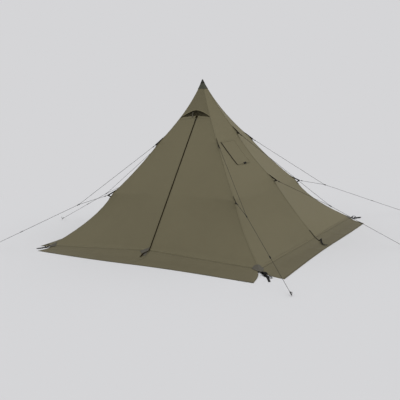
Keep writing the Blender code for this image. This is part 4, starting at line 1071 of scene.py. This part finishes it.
def add_tapes():
    """Tapes on ridges and middle seams, and the band that joins the skirt to the hem."""
    sides = list(SIDES)
    for index, corner in enumerate(CORNERS):
        before, after = sides[index], sides[(index + 1) % 4]
        start = share_at(HEADER_Z + 0.024 if corner.startswith("front") else CAP_HEM_Z, HEM_Z)
        v = np.linspace(start + 0.004, 0.996, ROWS)[:, None]
        arms = np.linspace(0, TAPE_HALF, 3)[None, :] / reach_at(v)
        near = surface(before, 1 - arms[:, ::-1], v, TAPE_LIFT)
        far = surface(after, -1 + arms[:, 1:], v, TAPE_LIFT)
        grid, node = np.concatenate([near, far], 1), ("seam_tape_" + corner,)
        cloth("ridge_tape_" + corner, grid, tape_cloth, "tent", node, TAPE)
    for side in PLAIN_SIDES:
        v = np.linspace(share_at(CAP_HEM_Z, MIDDLE_Z[3]) + 0.004, 0.998, ROWS)[:, None]
        u = np.linspace(-TAPE_HALF, TAPE_HALF, 5)[None, :] / reach_at(v)
        grid, node = surface(side, u, v, TAPE_LIFT), ("seam_tape_" + side,)
        cloth("middle_tape_" + side, grid, tape_cloth, "tent", node, TAPE)
    v = np.array([0.9905, 0.995, 0.9998])[None, :]
    for side in PLAIN_SIDES:
        u = np.linspace(-0.995, 0.995, SKIRT_COLUMNS)[:, None]
        grid = surface(side, u, v, TAPE_LIFT)
        cloth("hem_tape_" + side, grid, hem_cloth, "tent", (), TAPE)
    for hand, sign in HANDS.items():
        u = sign * np.linspace(ZIP_EDGE / CORNER_REACH, 0.995, SKIRT_COLUMNS)[:, None]
        grid = surface("front", u, v, TAPE_LIFT)
        bend_at_fold(cloth("hem_tape_front_" + hand, grid, hem_cloth, None, (), TAPE), hand)


# Peak

def peak_cone(name, high, low, offset, material, replaces=()):
    """A four-sided cone over the peak that follows the canopy at an offset, closed at its top."""
    v = np.linspace(share_at(high, HEM_Z), share_at(low, HEM_Z), 14)[:, None]
    u = np.linspace(-1, 1, 13)[None, :-1]
    grid = np.concatenate([surface(side, u, v, offset, rough=False) for side in SIDES], 1)
    around = np.broadcast_to(np.linspace(0, 0.3, grid.shape[1]), grid.shape[:2])
    uv = np.stack([around, lengths(grid, 0)], -1).reshape(-1, 2)
    faces = [tuple(f) for f in grid_faces(*grid.shape[:2], wrap=True)] + [tuple(range(grid.shape[1]))]
    shape = (grid.reshape(-1, 3), faces, uv)
    thicken(make(name, [shape], material, "tent", replaces, 50), 0.0015)


def add_peak():
    """The reinforcing cap over the peak, its stitched hem and the dark tip on it."""
    peak_cone("peak_cap_cloth", HEIGHT - 0.002, CAP_HEM_Z, 0.0024, cap_cloth, ("peak_cap",))
    peak_cone("peak_cap_hem", CAP_HEM_Z + 0.016, CAP_HEM_Z - 0.002, 0.0036, cap_cloth)
    peak_cone("peak_tip", HEIGHT, HEIGHT - 0.055, 0.0040, tip_cloth)


# Stove flap

# Heights of the top and the foot, and distances from the right side's middle line towards the front
FLAP_Z, FLAP_Y = (1.352, 1.052), (0.400, 0.140)
JACK_Z, JACK_Y = (1.344, 1.060), (0.392, 0.148)
FLAP_ROWS, FLAP_COLUMNS, TAB_COLUMN = 30, 26, 15


def flap_shares(heights):
    """Even shares of the way down the right side between two heights."""
    return np.linspace(*(share_at(z, HEM_Z) for z in heights), FLAP_ROWS)


def flap_grid(heights, distances, lift):
    """Points over a four-sided area of the right side, lifted off its cloth."""
    v = flap_shares(heights)[:, None]
    u = -np.linspace(*distances, FLAP_COLUMNS)[None, :] / reach_at(v)
    return surface("right", u, v, lift)


def add_stove_jack():
    """The heat-proof patch that the flap covers, and the stitched ring on it."""
    grid = flap_grid(JACK_Z, JACK_Y, 0.0028)
    cloth("stove_jack_patch", grid, jack_cloth, "tent", ("stove_jack",), 0.0012)
    middle, lower = flap_shares(JACK_Z)[[14, 18]]
    from_line, aside = 0.270, 0.200
    centre = surface("right", -from_line / reach_at(middle), middle, 0.0026)
    across = unit(surface("right", -aside / reach_at(middle), middle) - centre)
    down = unit(surface("right", -from_line / reach_at(lower), lower) - centre)
    ring = hoop(centre, across * 0.045, down * 0.052, 0.0008, 6, 60)
    make("stove_jack_ring", [ring], tape_cloth, "tent", sharp=180)


def add_stove_flap():
    """The flap with a dark strap along its near edge that paints the shadow of the gap under it, its bound
    far and foot edges, the tape along its top and its pull tab.
    """
    grid = flap_grid(FLAP_Z, FLAP_Y, 0.0066)
    cloth("stove_flap_cloth", grid, panel_cloth, "flap", ("stove_flap",), 0.0015)
    normal = unit(np.cross(grid[0, -1] - grid[0, 0], grid[-1, 0] - grid[0, 0]))
    normal = normal * np.sign(normal[0])
    near, far, foot = (evenly(side, 40) for side in (grid[:, 0], grid[:, -1], grid[-1]))
    # The near edge's dark strap is a painted shadow: it stands for the shade in the gap under the flap's edge
    edge = swept(near, bar_profile(0.010, 0.0046), normal)
    make("stove_flap_shadow_strap", [edge], brown_strap, "flap", sharp=70)
    hems = [swept(side, bar_profile(0.010, 0.0034), normal) for side in (far, foot)]
    make("stove_flap_hem", hems, tape_cloth, "flap", sharp=70)
    top = evenly(flap_grid(FLAP_Z, FLAP_Y, 0.0072)[0], 30)
    top = swept(top, bar_profile(0.014, 0.0030), normal)
    make("stove_flap_top", [top], tape_cloth, "tent", sharp=70)
    middle = grid[-1, TAB_COLUMN] + normal * 0.0030
    down = unit(grid[-1, TAB_COLUMN] - grid[-3, TAB_COLUMN])
    tab = swept([middle - down * 0.014, middle + down * 0.012], bar_profile(0.056, 0.0024), normal)
    make("stove_flap_tab", [tab], black_strap, "flap")


# Corner straps

# The strap at the near corner is let out and the others are pulled in. Places are reaches and heights in the
# corner's upright plane; those at the buckle are for the strap let out, and the others shift them
LET_OUT = {
    "under": [(2.275, 0.0180), (2.315, 0.0115), (2.400, 0.0070)],
    "over": [(2.330, 0.0125), (2.400, 0.0100)],
    "shift": 0.0,
    "tail": [(2.640, 0.0022), (2.698, 0.0022)],
}
PULLED_IN = {"under": [(2.275, 0.0180)], "over": [(2.284, 0.0185)], "shift": -0.140, "tail": []}
STRAPS = {corner: LET_OUT if corner == "front_right" else PULLED_IN for corner in CORNERS}
TURN_UNDER = [(2.449, 0.0050), (2.462, 0.0082), (2.470, 0.0070), (2.477, 0.0012)]
TURN_OVER = [(2.449, 0.0080), (2.462, 0.0102), (2.474, 0.0092)]
TAIL_START = [(2.474, 0.0090), (2.490, 0.0092), (2.512, 0.0040), (2.560, 0.0030)]
BUCKLE_START, BUCKLE_END, BUCKLE_HALF, BUCKLE_Z = 2.4540, 2.5020, 0.022, 0.0045
BUCKLE_BAR = bar_profile(0.0068, 0.0062, 12, 0.5)


def add_corner_patch(corner, angle, shift):
    """A grey patch over the skirts' gap: a lens of half width 1 - |2 t - 1| down the ridge and out."""
    t = np.linspace(0, 1, 25)[:, None]
    on_ridge, out = t < 0.5, t - 0.5
    side = np.linspace(-1, 1, 17)[None, :] * (0.058 * (1 - np.abs(2 * t - 1)) ** 0.8 + 0.012)
    ridge_z = np.interp(t, (0, 0.5), (0.060, 0.024))
    reach = DIAGONAL * (CORNER_REACH + 0.005) + out * (0.130 + 0.5 * shift)
    reach = np.where(on_ridge, DIAGONAL * (ridge_reach(ridge_z) + 0.005), reach)
    ground = skirt_fall((reach / DIAGONAL - CORNER_REACH) / 0.4, HEM_Z) + 0.0045
    drawn_back = np.abs(side) * np.where(on_ridge, 1.0, 1.0 - out * 1.6)
    places = np.broadcast_arrays(reach - drawn_back, np.where(on_ridge, ridge_z, ground))
    grid = in_plane(np.stack(places, -1), angle, side)
    cloth("corner_patch_" + corner, grid, patch_cloth, "tent", (), 0.0010, True)


def add_ladder_lock(corner, angle, shift):
    """The buckle: four bars that overlap a little at their corners, two cross bars and a lift tab."""
    def at(reach, height, side=0.0):
        """A place at the buckle, moved in with a strap that is pulled in."""
        return in_plane((reach + shift, height), angle, side)

    start, end, half = BUCKLE_START + 0.003, BUCKLE_END - 0.003, BUCKLE_HALF - 0.003
    corners = [at(r, BUCKLE_Z, s) for r, s in ((start, -half), (start, half), (end, half), (end, -half))]
    shapes = []
    for here, last in zip(corners, corners[-1:] + corners[:-1]):
        past = (here - last) * 0.05
        shapes.append(swept([here + past, last - past], BUCKLE_BAR))
    half = BUCKLE_HALF - 0.002
    for r in (2.4700, 2.4850):
        shapes.append(swept([at(r, BUCKLE_Z, -half), at(r, BUCKLE_Z, half)], BUCKLE_BAR))
    lift = [at(BUCKLE_END - 0.002, BUCKLE_Z + 0.001), at(BUCKLE_END + 0.012, BUCKLE_Z + 0.004)]
    shapes.append(swept(lift, bar_profile(0.024, 0.0030)))
    nodes = ("corner_buckle_" + corner,)
    make("ladder_lock_" + corner, shapes, black_plastic, "tent", nodes)


def add_corner_tail(corner, angle, shift, route):
    """What hangs at the buckle: the strap's curved end, a ring on its own strap and a loose loop."""
    _, sideways = upright(angle)
    path = rounded(route, 0.010)
    away = -0.040 * np.clip((path[:, 0] - shift - 2.50) / 0.20, 0, 1) ** 1.5
    shapes = [swept(in_plane(path, angle, away), bar_profile(0.0018, 0.026), sideways)]
    centre, out = in_plane((2.545 + shift, 0.0060), angle, 0.026), in_plane((0.042, 0.0), angle)
    shapes.append(hoop(centre, out, sideways * 0.016, 0.0034))
    ends = in_plane([(2.505 + shift, 0.005), (2.520 + shift, 0.006)], angle, (0.016, 0.022))
    shapes.append(swept(ends, bar_profile(0.012, 0.0022)))
    t = np.linspace(-0.35, 1.35, 34) * math.pi
    loop = np.stack([2.447 + shift + 0.034 * np.cos(t), 0.027 + 0.014 * np.sin(t)], -1)
    loop = in_plane(loop, angle, 0.010 * np.cos(t) - 0.006)
    shapes.append(swept(loop, bar_profile(0.0018, 0.032), sideways))
    make("corner_tail_" + corner, shapes, black_strap, "tent", sharp=70)


def add_corners():
    """At each corner: a patch, both layers of the strap, the buckle and what hangs at it."""
    layer = bar_profile(0.0016, 0.034)
    for corner, angle in CORNERS.items():
        strap = STRAPS[corner]
        shift = strap["shift"]
        add_corner_patch(corner, angle, shift)
        layers = []
        for start, turn in ((strap["under"], TURN_UNDER), (strap["over"], TURN_OVER)):
            route = start + [(reach + shift, z) for reach, z in turn]
            layers.append(swept(in_plane(rounded(route, 0.008), angle), layer, upright(angle)[1]))
        make("corner_strap_" + corner, layers, black_strap, "tent", sharp=70)
        add_ladder_lock(corner, angle, shift)
        tail = [(reach + shift, z) for reach, z in TAIL_START + strap["tail"]]
        add_corner_tail(corner, angle, shift, tail)


# Hem straps

def add_hem_buckle(side, place, out, sideways):
    """A small buckle tilted up off the skirt: four bars across and two along."""
    along = unit(out * 0.75 + np.array((0, 0, 0.60)))
    over = np.cross(along, sideways)
    over = over * np.sign(over[2])
    bars = []
    for r in (-0.021, -0.005, 0.010, 0.021):
        middle = place + along * r
        bars.append(swept([middle - sideways * 0.020, middle + sideways * 0.020], BUCKLE_BAR, over))
    for s in (-0.019, 0.019):
        middle = place + sideways * s
        bars.append(swept([middle - along * 0.024, middle + along * 0.024], BUCKLE_BAR, over))
    make("hem_buckle_" + side, bars, black_plastic, "tent")


def add_hem_straps():
    """At each plain side's middle: a strap down the seam's foot to a buckle, and its end over the skirt.

    The end swings aside by a quarter of a sine and drops from the buckle onto the skirt.
    """
    hem, foot_z, lift = MIDDLE_REACHES[3], MIDDLE_Z[3], 0.0042
    for side in PLAIN_SIDES:
        angle = SIDES[side]
        out, sideways = upright(angle)
        wide = CORNER_REACH + SKIRT_WIDTHS[side][1] - hem
        z = np.linspace(0.150, 0.052, 12)
        q = np.linspace(0.05, 0.235, 8)
        route = [np.stack([middle_reach(side, z) + lift, z], -1)]
        route.append(np.stack([hem + wide * q, skirt_fall(q, foot_z) + lift], -1))
        strap = swept(in_plane(np.concatenate(route), angle), bar_profile(0.0018, 0.020), sideways)
        make("hem_strap_" + side, [strap], brown_strap, "tent", sharp=70)
        place = in_plane((hem + wide * 0.250, float(skirt_fall(0.250, foot_z)) + 0.020), angle)
        add_hem_buckle(side, place, out, sideways)
        q = np.linspace(0.285, 0.89, 36)
        aside = -0.180 * np.sin(np.clip((q - 0.30) / 0.50, 0, 1.15) * math.pi / 2)
        level = skirt_fall(q, foot_z) + 0.0115 + 0.026 * np.clip((0.40 - q) / 0.10, 0, 1) ** 1.5
        path = in_plane(np.stack([hem + wide * q, level], -1), angle, aside)
        loop = swept(path, bar_profile(0.020, 0.0034))
        make("hem_loop_" + side, [loop], black_strap, "tent", sharp=70)


def finish_solids():
    """Materials for the solids that stay."""
    finishes = {"zip_slider": slider_metal, "zip_pull": slider_metal, "vent_prop": prop_shell}
    finishes.update({"pole_foot": foot_rubber, "pole_lower": pole_metal, "pole_upper": pole_metal})
    finishes.update({"peg_" + place: peg_metal for place in GUYS})
    for node, material in finishes.items():
        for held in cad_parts[node].material_slots:
            held.material = material


add_camera()
add_guys()
add_floor()
add_light()
add_canopy()
add_front()
add_vent()
add_zip()
add_zip_foot()
add_skirts()
add_tapes()
add_peak()
add_guy_fittings()
add_tie_outs()
add_stove_jack()
add_stove_flap()
add_corners()
add_hem_straps()
finish_solids()
